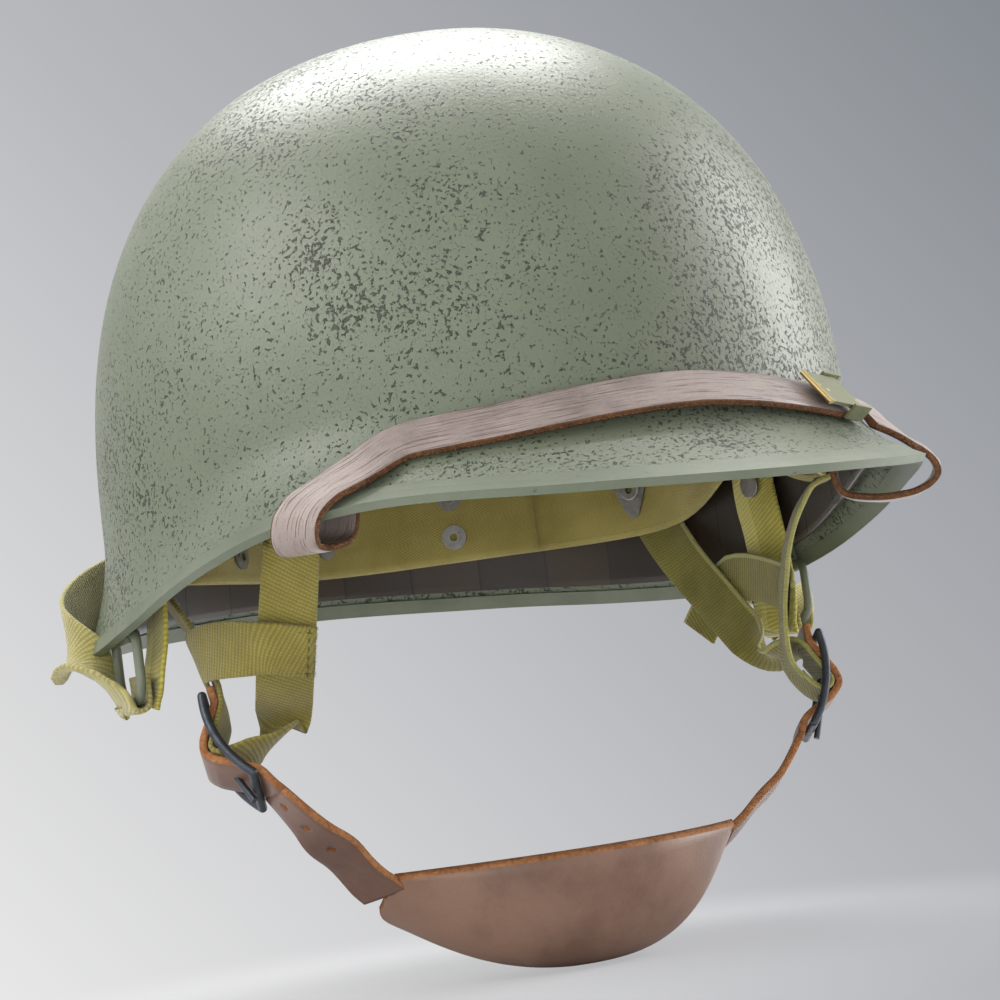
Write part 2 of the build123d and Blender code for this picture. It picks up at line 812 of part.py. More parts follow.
def buckle_point(side, x, y, z):
    """Point from shares of the buckle's half length."""
    half = buckle_length / 2
    return buckle_plane(side).from_local_coords(Vector(x * half, y * half, z * half))


def wall_station(angle, height, depth):
    reach = dome_inside(angle, wall_top(angle)) - leg_sag - web_thickness / 2
    return polar(angle, reach - depth, height), wall_side(angle)


def yoke_stations(side):
    """Route of the yoke's web: down the front leg, round the buckle's bar and up the rear leg."""
    front = front_leg_right_shares if side < 0 else front_leg_left_shares
    rear = rear_leg_right_shares if side < 0 else rear_leg_left_shares
    bar = buckle_plane(side).y_dir
    front_angle, rear_angle = -side * anchor_angles[1], -side * anchor_angles[2]
    lean = -side * (11 if side < 0 else 6)
    low = band_bottom + soft_gap
    stations = [wall_station(front_angle, h, 0) for h in (anchor_place(front_angle) + leg_width / 2, low / 4)]
    stations += [(yoke_point(x, y, z), Vector(*across)) for x, y, z, across in front]
    approach = web_in_right_shares if side < 0 else web_in_left_shares
    stations += [(buckle_point(side, x, y, z), Vector(*across)) for x, y, z, across in approach]
    turn = (buckle_bar_radius + soft_gap + web_thickness / 2 + soft_gap / 2) / (buckle_length / 2)
    bow = buckle_bow / (buckle_length / 2)
    for around in (0, 45, 90, 130):
        a = radians(around)
        stations.append((buckle_point(side, turn * cos(a), 0, bow + turn * sin(a)), bar))
    leaving = web_out_right_shares if side < 0 else web_out_left_shares
    stations += [(buckle_point(side, x, y, z), bar) for x, y, z in leaving]
    stations += [(yoke_point(x, y, z), Vector(*across)) for x, y, z, across in rear]
    if side < 0:
        stations.append(wall_station(rear_angle - lean, 1.6 * low, 3 * web_thickness))
    stations.append(wall_station(rear_angle - lean / 2, low / 2, 0))
    stations.append(wall_station(rear_angle, anchor_place(rear_angle), 0))
    stations.append(wall_station(rear_angle, anchor_place(rear_angle) + leg_width / 2, 0))
    return stations


def make_yoke_web(side):
    web = ribbon(yoke_stations(side), yoke_web_width, web_thickness)
    half = buckle_length / 2
    slot = buckle_plane(side) * Pos(0.1 * half, 0, buckle_bow) * Box(0.64 * half, prong_slot, half)
    for angle in anchor_angles:
        web = web - anchor_hole(angle)
    return web - slot


def web_frame(side, height, leg):
    """Place on a yoke's leg at a height: centre, direction along its width, its route, direction out."""
    frames = ribbon_frames(yoke_stations(side), 2)
    half = len(frames) // 2
    part = frames[:half] if leg == "front" else frames[half:]
    centre, across, route = min(part, key=lambda f: abs(f[0].Z - height))
    out = route.cross(across)
    out = out if out.X * side > 0 else -out
    return centre, across if across.Y > 0 else -across, route if route.Z > 0 else -route, out


def make_crossbar(side):
    """Web from the outside of the front leg, round the rear leg and back a little."""
    lift = web_thickness + 2 * soft_gap
    height = -crossbar_drop_share * yoke_drop
    front, front_across, front_up, front_out = web_frame(side, height, "front")
    rear, rear_across, rear_up, rear_out = web_frame(side, height, "rear")
    half = yoke_web_width / 2
    stations = [(front - front_across * half + front_out * lift, front_up)]
    stations.append((front + front_across * half + front_out * lift, front_up))
    stations.append((rear - rear_across * half + rear_out * lift, rear_up))
    stations.append((rear + rear_across * half + rear_out * lift, rear_up))
    for around in (45, 90, 135):
        a = radians(around)
        place = rear + rear_across * (half + lift * sin(a)) + rear_out * (lift * cos(a))
        stations.append((place, rear_up))
    stations.append((rear + rear_across * half - rear_out * lift, rear_up))
    stations.append((rear - rear_across * half / 2 - rear_out * lift, rear_up))
    return ribbon(stations, yoke_web_width, web_thickness)


# Chin buckles, straps and cup


def make_buckle_frame(side):
    """Bowed wire frame with a bar across its middle."""
    half_length = buckle_length / 2
    half_width = buckle_inside_width / 2 + buckle_wire_radius
    frame = tube(Line((0, -half_width, buckle_bow), (0, half_width, buckle_bow)), buckle_bar_radius)
    for across in (-half_width, half_width):
        rail = ThreePointArc((-half_length, across, 0), (0, across, buckle_bow), (half_length, across, 0))
        frame = frame + tube(rail, buckle_wire_radius)
    for end in (-half_length, half_length):
        frame = frame + tube(Line((end, -half_width, 0), (end, half_width, 0)), buckle_wire_radius)
        for across in (-half_width, half_width):
            frame = frame + Pos(end, across, 0) * Sphere(buckle_wire_radius)
    return buckle_plane(side) * frame


def prong_ring(radius, width):
    ring_disc = extrude(Circle(radius), width / 2, both=True)
    return Plane(Vector(0, 0, buckle_bow), x_dir=(1, 0, 0), z_dir=(0, 1, 0)) * ring_disc


def make_prong(side):
    """Eye round the middle bar and a rod that rests on the lower bar."""
    bore = buckle_bar_radius + metal_gap
    outer = bore + prong_radius
    half_length = buckle_length / 2
    rest = buckle_wire_radius + prong_radius + metal_gap
    path = Spline(
        (outer - prong_radius / 2, 0, buckle_bow), (half_length, 0, rest), (half_length + prong_overhang, 0, rest * 0.92)
    )
    rod = tube(path, prong_radius)
    return buckle_plane(side) * (prong_ring(outer, prong_eye_width) + rod - prong_ring(bore, 2 * prong_eye_width))


def cup_point(u, v, inset):
    """Point of the cup's outer face: u runs from the wearer's right to left, v from front edge to rear edge."""
    across = cup_end_share + (1 - cup_end_share) * (1 - u * u) ** 0.8
    swell = (1 - abs(u) ** 2.4) * sin(pi * v) ** 0.85
    width = cup_span_width * across
    x = cup_half_length * u
    y = cup_front_place - cup_forward * (1 - u * u) + width * v * 0.8 - cup_depth * 0.16 * swell
    z = cup_front_height - width * v * (0.6 - 0.3 * v * (1 - u * u)) - cup_depth * 0.6 * swell
    return Vector(x, y, z) + Vector(-0.25 * u, 0.45, 0.85).normalized() * inset


def make_cup():
    """Moulded leather pad: a loft of thin curved sections from side to side."""
    columns, rows = 19, 11
    sections = []
    for i in range(columns):
        u = -1 + 2 * i / (columns - 1)
        outer = [cup_point(u, j / (rows - 1), 0) for j in range(rows)]
        inner = [cup_point(u, j / (rows - 1), chin_leather) for j in reversed(range(rows))]
        edges = [even_spline(outer, False), Edge.make_line(outer[-1], inner[0])]
        edges += [even_spline(inner, False), Edge.make_line(inner[-1], outer[0])]
        sections.append(Wire(edges))
    return Solid.make_loft(sections, True)


def make_chin_strap(side):
    """Strap from the cup, in under the lower bar, out over the web and in under the upper bar."""
    bar = buckle_plane(side).y_dir
    root = (cup_point(side, 0, chin_leather / 2) + cup_point(side, 1, chin_leather / 2)) / 2
    width_way = cup_point(side, 1, 0) - cup_point(side, 0, 0)
    away = Vector(side, 0, 0)
    root = root + away * 2 * soft_gap
    lower = buckle_point(side, *(strap_in_buckle_shares[0][0], 0, strap_in_buckle_shares[0][1]))
    stations = [(root, width_way), (root + away * chin_leather, width_way)]
    blend = width_way.normalized() * (1 if width_way.dot(bar) > 0 else -1) + bar
    stations.append((root * 0.55 + lower * 0.45, blend))
    stations += [(buckle_point(side, x, 0, z), bar) for x, z in strap_in_buckle_shares]
    strap = ribbon(stations, chin_strap_width, chin_leather)
    half = buckle_length / 2
    window = Box(half * 0.62, 2 * (prong_radius + soft_gap), 2 * (prong_radius + soft_gap))
    return strap - buckle_plane(side) * Pos(half * 0.48, 0, buckle_bow - soft_gap / 2) * window


# Brim strap: wall angle, reach as a share of the rim's front reach, height as a share of the rim's
# drop, and the direction across the strap
brim_route_shares = (
    (50.5, 0.704, 0.50, (0.64, -0.77, 0)),
    (50.5, 0.704, 0.15, (0.64, -0.77, 0)),
    (51.0, 0.700, -0.10, (0.64, -0.77, 0)),
    (51.6, 0.712, -0.34, (0.65, -0.76, 0)),
    (52.0, 0.765, -0.44, (0.67, -0.74, 0)),
    (52.0, 0.835, -0.455, (0.68, -0.72, 0)),
    (51.2, 0.879, -0.38, (0.66, -0.73, -0.1)),
    (50.2, 0.899, -0.25, (0.62, -0.75, -0.17)),
    (49.2, 0.889, -0.115, (0.5, -0.8, -0.3)),
    (47.0, 0.856, 0.03, (0.25, -0.87, -0.36)),
    (43.6, 0.831, 0.16, (0, -0.75, -0.6)),
)
brim_front_shares = ((39, 0.17), (33, 0.22), (26, 0.27), (18, 0.335), (9, 0.40), (0, 0.43))


def front_station(angle):
    """The strap's seat against dome and brim at a wall angle, pushed clear of the shell."""
    side = abs(angle)
    table = sorted(brim_front_shares)
    k = max(i for i in range(len(table) - 1) if table[i][0] <= side)
    x = (side - table[k][0]) / (table[k + 1][0] - table[k][0])
    height = rim_drop * (table[k][1] + (table[k + 1][1] - table[k][1]) * x)
    across = Vector(0, 0, 0.785) - outward(angle) * 0.62
    out = outward(angle) * 0.785 + Vector(0, 0, 0.62)
    start = polar(angle, dome_reach(angle), height)
    push = -brim_strap_width
    for k in range(61):
        for turn in (-2, 0, 2):
            point = shell_surface(angle + turn, 0.7 + 1.3 * k / 60)
            if abs((point - start).dot(across)) < brim_strap_width / 2 + soft_gap:
                push = max(push, (point - start).dot(out))
    return start + out * (push + soft_gap + brim_leather / 2), across


def brim_end_stations():
    """The strap's end on the wearer's right: off the liner's wall, round the rim and up to the front."""
    stations = []
    for angle, reach, height, across in brim_route_shares:
        stations.append((polar(angle, reach * rim_front_reach, height * rim_drop), Vector(*across)))
    return stations


def make_brim_strap_long():
    stations = brim_end_stations()
    for angle in (39, 33, 26, 18, 9, 0, -9, -18, -26, cam_angle, cam_angle - 3):
        stations.append(front_station(angle))
    return ribbon(stations, brim_strap_width, brim_leather, 3) - mirrored(stud_post())


def make_brim_strap_short():
    stations = brim_end_stations() + [front_station(a) for a in (41, cam_tail_angle)]
    return mirrored(ribbon(stations, brim_strap_width, brim_leather, 3)) - stud_post()


def cam_plane():
    """X runs along the strap, Z points away from the shell."""
    centre, across = front_station(cam_angle)
    route = (front_station(cam_angle - 2)[0] - front_station(cam_angle + 2)[0]).normalized()
    out = route.cross(across).normalized()
    if out.dot(outward(cam_angle)) < 0:
        out = -out
    return Plane(centre, x_dir=route, z_dir=out)


def cam_pin_height():
    return brim_leather / 2 + metal_gap + cam_pin_radius + cam_lever_wall


def make_cam_frame():
    """Two ears joined by a bridge over the strap's edge, which carry the lever's pin."""
    width = brim_strap_width + 2 * metal_gap
    floor = brim_leather / 2 + metal_gap
    top = cam_pin_height() + cam_pin_radius + cam_wall
    bridge = Pos(cam_length / 2 - cam_wall, 0, floor + cam_wall / 2) * Box(2 * cam_wall, width + 2 * cam_wall, cam_wall)
    frame = bridge
    for sign in (-1, 1):
        place = sign * (width + cam_wall) / 2
        ear = Pos(0, place, top / 2) * Box(cam_length, cam_wall, top)
        ear = ear - Pos(0, place, cam_pin_height()) * Rot(90, 0, 0) * Cylinder(
            cam_pin_radius + metal_gap / 2, 2 * cam_wall
        )
        frame = frame + ear
    return cam_plane() * frame


def make_cam_lever():
    """Plate with a rolled working edge, on a pin between the ears."""
    width = brim_strap_width - 2 * metal_gap
    height = cam_pin_height()
    pin = Pos(0, 0, height) * Rot(90, 0, 0) * Cylinder(cam_pin_radius, brim_strap_width + 2 * metal_gap + 2 * cam_wall)
    centre = -cam_lever_length * 0.38
    plate = Pos(centre, 0, height + cam_lever_wall / 2) * Box(cam_lever_length, width, cam_lever_wall)
    edge = centre - cam_lever_length / 2
    roll = Pos(edge, 0, height + cam_lever_wall / 2) * Rot(90, 0, 0) * Cylinder(cam_lever_wall * 0.8, width)
    return cam_plane() * (pin + plate + roll)


def stud_plane():
    angle, reach, height, _ = brim_route_shares[0]
    place = height * rim_drop - brim_strap_width / 2
    wall = liner_inside(angle, place)
    return wall_plane(-angle, wall - 1.3 * soft_gap, place), wall - reach * rim_front_reach + brim_leather / 2


def stud_post():
    plane, depth = stud_plane()
    return plane * extrude(Circle(stud_radius / 2 + soft_gap), depth + stud_rise)


def make_stud():
    """Stud on the liner, on the wearer's left, that the strap's end buttons over."""
    plane, depth = stud_plane()
    post = extrude(Circle(stud_radius / 2), depth + stud_rise)
    cap = Pos(0, 0, depth + soft_gap) * extrude(Circle(stud_radius), stud_rise - soft_gap)
    cap = fillet(cap.edges().sort_by(Axis.Z)[-1:], stud_rise / 4)
    return plane * (post + cap)


def tab_snap_plane():
    x, y, z = tab_shares[-1]
    low = bale_height - bale_drop
    angle = degrees(atan2(x, shell_centre_offset / bale_reach - y))
    reach = bale_reach * hypot(x, y - shell_centre_offset / bale_reach)
    wall = liner_inside(angle, z * low - leg_width / 3)
    return wall_plane(angle, wall - soft_gap, z * low - leg_width / 3), wall - reach + web_thickness / 2


def make_tab_snap():
    """Snap on the liner that holds the shell strap's tab."""
    plane, depth = tab_snap_plane()
    post = extrude(Circle(stud_radius / 2), depth + stud_rise)
    cap = Pos(0, 0, depth + soft_gap) * extrude(Circle(stud_radius), stud_rise - soft_gap)
    return plane * (post + fillet(cap.edges().sort_by(Axis.Z)[-1:], stud_rise / 4))


def tab_snap_hole():
    plane, depth = tab_snap_plane()
    return plane * extrude(Circle(stud_radius / 2 + soft_gap), depth + stud_rise)


def build():
    parts = {"shell": make_shell(), "rim_edging": make_edging(), "liner": make_liner()}
    for name, solid in (
        ("bale", make_bale()),
        ("bale_barrel", make_barrel()),
        ("shell_strap", make_shell_strap(rear_buckle_angle)),
        ("snap_tab", make_tab() - tab_snap_hole()),
        ("tab_snap", make_tab_snap()),
    ):
        parts[name + "_right"] = solid
        parts[name + "_left"] = mirrored(solid)
    parts["rear_buckle"] = make_rear_buckle()
    parts["head_band"] = make_band()
    parts["nape_band"] = make_nape_band()
    parts["crown_lace"] = make_lace()
    for k, angle in enumerate(anchor_angles):
        parts[f"anchor_{k + 1}"] = make_anchor(angle)
        parts[f"crown_leg_{k + 1}"] = make_leg(angle, k)
    places = [(a, h) for a in (snap_angle, -snap_angle) for h in (snap_low, snap_low + snap_pitch)]
    for k, (angle, height) in enumerate(places):
        parts[f"nape_snap_{k + 1}"] = make_nape_snap(angle, height)
    for side, name in ((-1, "right"), (1, "left")):
        parts[f"yoke_web_{name}"] = make_yoke_web(side)
        parts[f"yoke_crossbar_{name}"] = make_crossbar(side)
        parts[f"chin_buckle_{name}"] = make_buckle_frame(side)
        parts[f"prong_{name}"] = make_prong(side)
        parts[f"chin_strap_{name}"] = make_chin_strap(side)
    parts["chin_cup"] = make_cup()
    parts["brim_strap_long"] = make_brim_strap_long()
    parts["brim_strap_short"] = make_brim_strap_short()
    parts["brim_stud_left"] = make_stud()
    parts["brim_stud_right"] = mirrored(make_stud())
    parts["brim_buckle"] = make_cam_frame()
    parts["brim_buckle_lever"] = make_cam_lever()
    return parts


os.makedirs("parts", exist_ok=True)
for part_name, part_solid in build().items():
    export_step(part_solid, f"parts/{part_name}.step")
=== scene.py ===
"""Looks of the steel pot helmet: painted shell, fibre liner, webs, leather and buckles."""

from functools import lru_cache
from math import cos, degrees, pi, radians, sin, tan

import bmesh
import bpy
from mathutils import Matrix, Vector, noise


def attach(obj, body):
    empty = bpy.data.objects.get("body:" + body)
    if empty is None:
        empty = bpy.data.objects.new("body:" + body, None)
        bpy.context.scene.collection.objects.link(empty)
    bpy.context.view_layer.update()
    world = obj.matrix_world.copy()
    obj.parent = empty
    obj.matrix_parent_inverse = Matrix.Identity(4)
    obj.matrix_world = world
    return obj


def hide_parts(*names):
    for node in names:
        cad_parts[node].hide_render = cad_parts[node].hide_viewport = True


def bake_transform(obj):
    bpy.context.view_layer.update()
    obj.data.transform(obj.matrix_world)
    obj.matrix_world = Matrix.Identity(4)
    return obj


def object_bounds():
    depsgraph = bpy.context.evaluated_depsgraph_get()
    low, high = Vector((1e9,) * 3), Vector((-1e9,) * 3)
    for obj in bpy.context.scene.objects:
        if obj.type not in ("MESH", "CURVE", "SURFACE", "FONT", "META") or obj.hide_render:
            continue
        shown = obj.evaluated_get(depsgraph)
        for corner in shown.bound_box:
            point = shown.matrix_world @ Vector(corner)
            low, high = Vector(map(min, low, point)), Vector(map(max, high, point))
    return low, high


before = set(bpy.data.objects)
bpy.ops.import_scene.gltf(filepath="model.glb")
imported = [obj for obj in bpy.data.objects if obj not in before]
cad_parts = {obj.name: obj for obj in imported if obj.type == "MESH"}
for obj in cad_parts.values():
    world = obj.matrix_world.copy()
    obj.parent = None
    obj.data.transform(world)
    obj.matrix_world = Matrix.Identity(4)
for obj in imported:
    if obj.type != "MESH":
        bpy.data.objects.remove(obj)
cad_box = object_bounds()


def vec(x, y=None, z=None):
    return Vector(x) if y is None else Vector((x, y, z))


class Seat:
    """A plane to work on: origin, and x, y and z directions."""

    def __init__(self, origin, x_dir, z_dir):
        self.origin = origin
        self.z_dir = z_dir.normalized()
        self.x_dir = (x_dir - self.z_dir * x_dir.dot(self.z_dir)).normalized()
        self.y_dir = self.z_dir.cross(self.x_dir)

    def from_local_coords(self, p):
        return self.origin + self.x_dir * p[0] + self.y_dir * p[1] + self.z_dir * p[2]


crown_height = 143.6
shell_half_width = 113.8
shell_front_reach = 113.1
shell_rear_reach = 122.6
shell_centre_offset = 1.5
shell_wall = 1.1
rim_front_reach = 150.2
rim_drop = 29.6
flare_height = 16.0
flare_belly = 5.5
oval_power = 1.92
crown_power = 2.89
crown_power_front_share = -0.33
crown_power_rear_share = -0.48
crown_root = 2.15
liner_gap = 0.5
liner_wall = 2.2
liner_edge_rise = 5.0
soft_gap = 0.3
metal_gap = 0.15
bale_wire_radius = 1.4
bale_reach = 115.0
bale_height = -26.0
bale_drop = 19.0
bale_bottom_fillet = 7.5
bale_angle = 96.5
shell_web_width = 19.0
web_thickness = 1.4
band_height = 31.0
band_bottom = -8.3
band_thickness = 1.6
band_dip = 8.0
nape_thickness = 1.4
nape_end_angle = 141.0
leg_width = 19.0
leg_thickness = 1.2
lace_radius = 2.0
lace_ring_radius = 21.8
lace_height = 106.0
leg_sag = 0.6
brow_rise = 9.0
ear_rise = 15.0
ear_angle = 90.0
ear_span = 15.0
anchor_angles = (0, 60, 122, 180, -122, -60)
anchor_height = 7.5
anchor_plate_height = 20.5
yoke_web_width = 16.0
yoke_span = 98.5
yoke_depth = 50.0
yoke_drop = 62.5
crossbar_drop_share = 0.55
buckle_length = 29.0
buckle_bow = 3.0
buckle_bar_radius = 1.1
chin_strap_width = 15.5
chin_leather = 2.2
brim_strap_width = 12.7
brim_leather = 2.0
cup_half_length = 58.0
cup_depth = 33.0
cup_forward = 24.0
cup_span_width = 52.0
cup_front_height = -104.0
cup_front_place = -23.0
cup_end_share = 0.3
cam_angle = -30.0
cam_tail_angle = 39.0
cam_lever_length = 20.0
cam_lever_wall = 1.0
cam_pin_radius = 1.0
wall_angles = (0, 20, 40, 55, 70, 85, 100, 115, 130, 150, 180)
rim_reach_shares = (1.0, 0.967, 0.893, 0.849, 0.818, 0.798, 0.801, 0.823, 0.8415, 0.857, 0.872)
rim_height_shares = (-0.345, -0.29, -0.175, -0.247, -0.493, -0.774, -0.956, -1.0, -0.926, -0.784, -0.672)
flare_slopes = (22, 22, 28, 38, 52, 66, 68, 62, 58, 58, 58)
liner_flare_shares = (1.0, 1.0, 0.85, 0.5, 0.15, 0.0, 0.0, 0.0, 0.1, 0.2, 0.25)
liner_inset = shell_wall + liner_gap + liner_wall
shell_web_shares = (
    (97.4, 1.034, 0.955, 3),
    (99.0, 1.055, 0.87, 10),
    (102, 1.080, 0.77, 22),
    (107, 1.102, 0.64, 40),
    (113, 1.110, 0.49, 56),
    (120, 1.096, 0.335, 68),
    (129, 1.073, 0.20, 77),
    (141, 1.070, 0.08, 83),
    (155, 1.086, -0.01, 87),
    (166, 1.100, -0.05, 90),
)
rear_buckle_angle = 173.5
tab_shares = (
    (0.953, 0.121, 1.03),
    (0.945, 0.112, 0.93),
    (0.940, 0.090, 0.80),
    (0.931, 0.075, 0.64),
    (0.924, 0.070, 0.44),
    (0.918, 0.075, 0.24),
    (0.922, 0.095, 0.02),
    (0.922, 0.095, -0.17),
)
front_leg_right_shares = (
    (-0.914, -1.02, -0.138, (0.55, -0.83, 0)),
    (-0.893, -0.78, -0.44, (0.8, -0.6, 0)),
    (-0.873, -0.56, -0.704, (0.85, -0.5, -0.1)),
)
rear_leg_right_shares = (
    (-0.984, 0.10, -0.47, (0.4, 0.88, -0.2)),
    (-0.99, 0.50, -0.25, (0.3, 0.95, 0)),
)
front_leg_left_shares = (
    (0.880, -0.93, -0.10, (0.5, 0.87, 0)),
    (0.875, -0.66, -0.30, (0.5, 0.87, 0)),
    (0.893, -0.44, -0.60, (0.5, 0.87, 0)),
    (0.914, -0.34, -0.84, (0.5, 0.87, -0.1)),
)
rear_leg_left_shares = (
    (0.970, 0.24, -0.740, (-0.3, 0.72, -0.62)),
    (0.965, 0.52, -0.528, (-0.3, 0.75, -0.6)),
    (0.960, 0.80, -0.312, (-0.35, 0.8, -0.45)),
)
web_in_right_shares = (
    (-0.2, -0.3, -1.15, (0.5, -0.8, 0.15)),
    (0.20, -0.14, -0.72, (0.05, -0.9, 0.42)),
    (0.235, 0, -0.2, (-0.41, -0.75, 0.52)),
)
web_in_left_shares = (
    (-0.25, 0, -0.38, (0.42, 0.87, -0.25)),
    (0.02, 0, -0.10, (0.42, 0.87, -0.25)),
    (0.13, 0, 0.08, (0.42, 0.87, -0.25)),
)
web_out_right_shares = ((-0.56, 0, -0.09), (-0.77, 0, -0.262), (-0.96, 0, -0.34), (-1.2, 0, -0.42))
web_out_left_shares = ((-0.56, 0, -0.09), (-0.75, 0.05, -0.26), (-0.82, 0.35, -0.50), (-0.85, 0.85, -0.85))
strap_in_buckle_shares = (
    (1.75, -0.22), (1.24, -0.25), (1.0, -0.205), (0.85, -0.15), (0.655, 0.02), (0.30, 0.365),
    (0.205, 0.435), (0, 0.515), (-0.205, 0.435), (-0.30, 0.365), (-0.655, 0.02), (-0.85, -0.15),
    (-1.0, -0.205), (-1.12, -0.23), (-1.22, -0.25),
)
strap_run_shares = ((0, 0.5, 0), (0.18, 0.6, 0), (0.42, 0.7, 0.5), (0.72, 0.75, 0.7))
brim_route_shares = (
    (50.5, 0.704, 0.50, (0.64, -0.77, 0)),
    (50.5, 0.704, 0.15, (0.64, -0.77, 0)),
    (51.0, 0.700, -0.10, (0.64, -0.77, 0)),
    (51.6, 0.712, -0.34, (0.65, -0.76, 0)),
    (52.0, 0.765, -0.44, (0.67, -0.74, 0)),
    (52.0, 0.835, -0.455, (0.68, -0.72, 0)),
    (51.2, 0.879, -0.38, (0.66, -0.73, -0.1)),
    (50.2, 0.899, -0.25, (0.62, -0.75, -0.17)),
    (49.2, 0.889, -0.115, (0.5, -0.8, -0.3)),
    (47.0, 0.856, 0.03, (0.25, -0.87, -0.36)),
    (43.6, 0.831, 0.16, (0, -0.75, -0.6)),
)
brim_front_shares = ((39, 0.17), (33, 0.22), (26, 0.27), (18, 0.335), (9, 0.40), (0, 0.43))


def along(values, angle):
    """Smooth value of a wall table at an angle, the same on both sides."""
    a = abs((angle + 180) % 360 - 180)
    last = len(wall_angles) - 1
    i = max(k for k in range(last) if wall_angles[k] <= a)
    step = wall_angles[i + 1] - wall_angles[i]
    x = (a - wall_angles[i]) / step

    def slope(k):
        if k in (0, last):
            return 0
        return (values[k + 1] - values[k - 1]) / (wall_angles[k + 1] - wall_angles[k - 1])

    low = values[i] * (1 + 2 * x) * (1 - x) ** 2 + slope(i) * step * x * (1 - x) ** 2
    high = values[i + 1] * x * x * (3 - 2 * x) + slope(i + 1) * step * x * x * (x - 1)
    return low + high


def polar(angle, reach, height):
    """Point at a wall angle, a distance out from the shell's axis and a height."""
    a = radians(angle)
    return vec(-reach * sin(a), shell_centre_offset - reach * cos(a), height)


def outward(angle):
    return vec(-sin(radians(angle)), -cos(radians(angle)), 0)


def sideways(angle):
    return vec(-cos(radians(angle)), sin(radians(angle)), 0)


def dome_reach(angle, height=0):
    """Outer reach of the shell's dome, an oval that closes over the crown."""
    c, s = cos(radians(angle)), sin(radians(angle))
    along_reach = shell_front_reach if c > 0 else shell_rear_reach
    base = (abs(c / along_reach) ** oval_power + abs(s / shell_half_width) ** oval_power) ** (-1 / oval_power)
    extra_share = crown_power_front_share if c > 0 else crown_power_rear_share
    power = crown_power + extra_share * abs(c)
    return base * (1 - max(height / crown_height, 0) ** power) ** (1 / crown_root)


def rim_reach(angle):
    return rim_front_reach * along(rim_reach_shares, angle)


def rim_height(angle):
    return rim_drop * along(rim_height_shares, angle)


def wall_profile(angle, station):
    """Reach and height of the shell's outer wall: 0 at the crown, 1 where the flare starts, 2 at the rim."""
    reach, height = rim_reach(angle), rim_height(angle)
    slope = tan(radians(along(flare_slopes, angle)))
    base = dome_reach(angle)
    corner = height + (reach - base) * slope
    start = corner + flare_height
    if station <= 1:
        z = start + (crown_height - start) * cos(station * pi / 2)
        return dome_reach(angle, z), z
    u = station - 1
    belly_share = 0.45
    outer = base + (reach - base) * belly_share
    points = (
        (dome_reach(angle, start), start),
        (base, corner + flare_belly),
        (outer, height + (reach - outer) * slope),
        (reach, height),
    )
    weights = ((1 - u) ** 3, 3 * u * (1 - u) ** 2, 3 * u * u * (1 - u), u**3)
    return tuple(sum(w * p[k] for w, p in zip(weights, points)) for k in (0, 1))


def station_at(angle, height):
    """Station on the flare at which the shell's outer wall has a height."""
    low, high = 1.0, 2.0
    for _ in range(30):
        middle = (low + high) / 2
        if wall_profile(angle, middle)[1] > height:
            low = middle
        else:
            high = middle
    return low


def shell_reach(angle, height):
    """Outer reach of the shell at any height above its rim."""
    start = wall_profile(angle, 1)[1]
    if height >= start:
        return dome_reach(angle, height)
    return wall_profile(angle, station_at(angle, height))[0]


def shell_surface(angle, station):
    return polar(angle, *wall_profile(angle, station))


def liner_surface(angle, station):
    """The shell's wall with its flare drawn in at the sides and back, and cut off above the rim."""
    if station <= 1:
        return polar(angle, *wall_profile(angle, station))
    end = station_at(angle, rim_height(angle) + liner_edge_rise)
    reach, height = wall_profile(angle, 1 + (station - 1) * (end - 1))
    base = dome_reach(angle, height)
    flare_share = along(liner_flare_shares, angle)
    share = 1 - (1 - flare_share) * min(1, (station - 1) * 2)
    return polar(angle, base + (reach - base) * share, height)


def smooth_points(points, steps):
    """Points of a smooth curve through the given ones, with steps between each pair."""
    spans = [(b - a).length for a, b in zip(points, points[1:])]
    last = len(points) - 1

    def slope(k):
        before, after = max(k - 1, 0), min(k + 1, last)
        return (points[after] - points[before]) / sum(spans[before:after])

    result = []
    for i in range(last):
        for j in range(steps):
            x = j / steps
            point = points[i] * ((1 + 2 * x) * (1 - x) ** 2) + points[i + 1] * (x * x * (3 - 2 * x))
            point = point + slope(i) * (spans[i] * x * (1 - x) ** 2)
            result.append(point + slope(i + 1) * (spans[i] * x * x * (x - 1)))
    return result + [points[-1]]


def ribbon_frames(stations, steps):
    """Centre, direction along the width and direction of the route at each section of a strap."""
    sides = [vec(stations[0][1]).normalized()]
    for _, across in stations[1:]:
        side = vec(across).normalized()
        sides.append(side if side.dot(sides[-1]) > 0 else -side)
    centres = smooth_points([vec(c) for c, _ in stations], steps)
    pairs = list(zip(sides, sides[1:]))
    sides = [a * (1 - j / steps) + b * (j / steps) for a, b in pairs for j in range(steps)] + sides[-1:]
    frames = []
    for i, side in enumerate(sides):
        before = centres[max(i - 1, 0)]
        after = centres[min(i + 1, len(centres) - 1)]
        route = (after - before).normalized()
        frames.append((centres[i], (side - route * side.dot(route)).normalized(), route))
    return frames


def dome_inside(angle, height):
    """Reach of the liner's inner face where it is still part of the dome."""
    return dome_reach(angle, height) - liner_inset


def wall_side(angle):
    """Level direction along the dome's wall."""
    before, after = [polar(angle + d, dome_reach(angle + d), 0) for d in (-1, 1)]
    return (after - before).normalized()


def wall_top(angle):
    """Height of the head band's upper edge away from the ears."""
    return band_bottom + band_height + brow_rise * ((1 + cos(radians(angle))) / 2) ** 3


def web_station(angle, reach, height, lean):
    """Centre and across direction of a web: lean 0 lies along the wall, 90 stands up."""
    side = sideways(angle) * cos(radians(lean)) + vec(0, 0, sin(radians(lean)))
    return polar(angle, reach, height), side


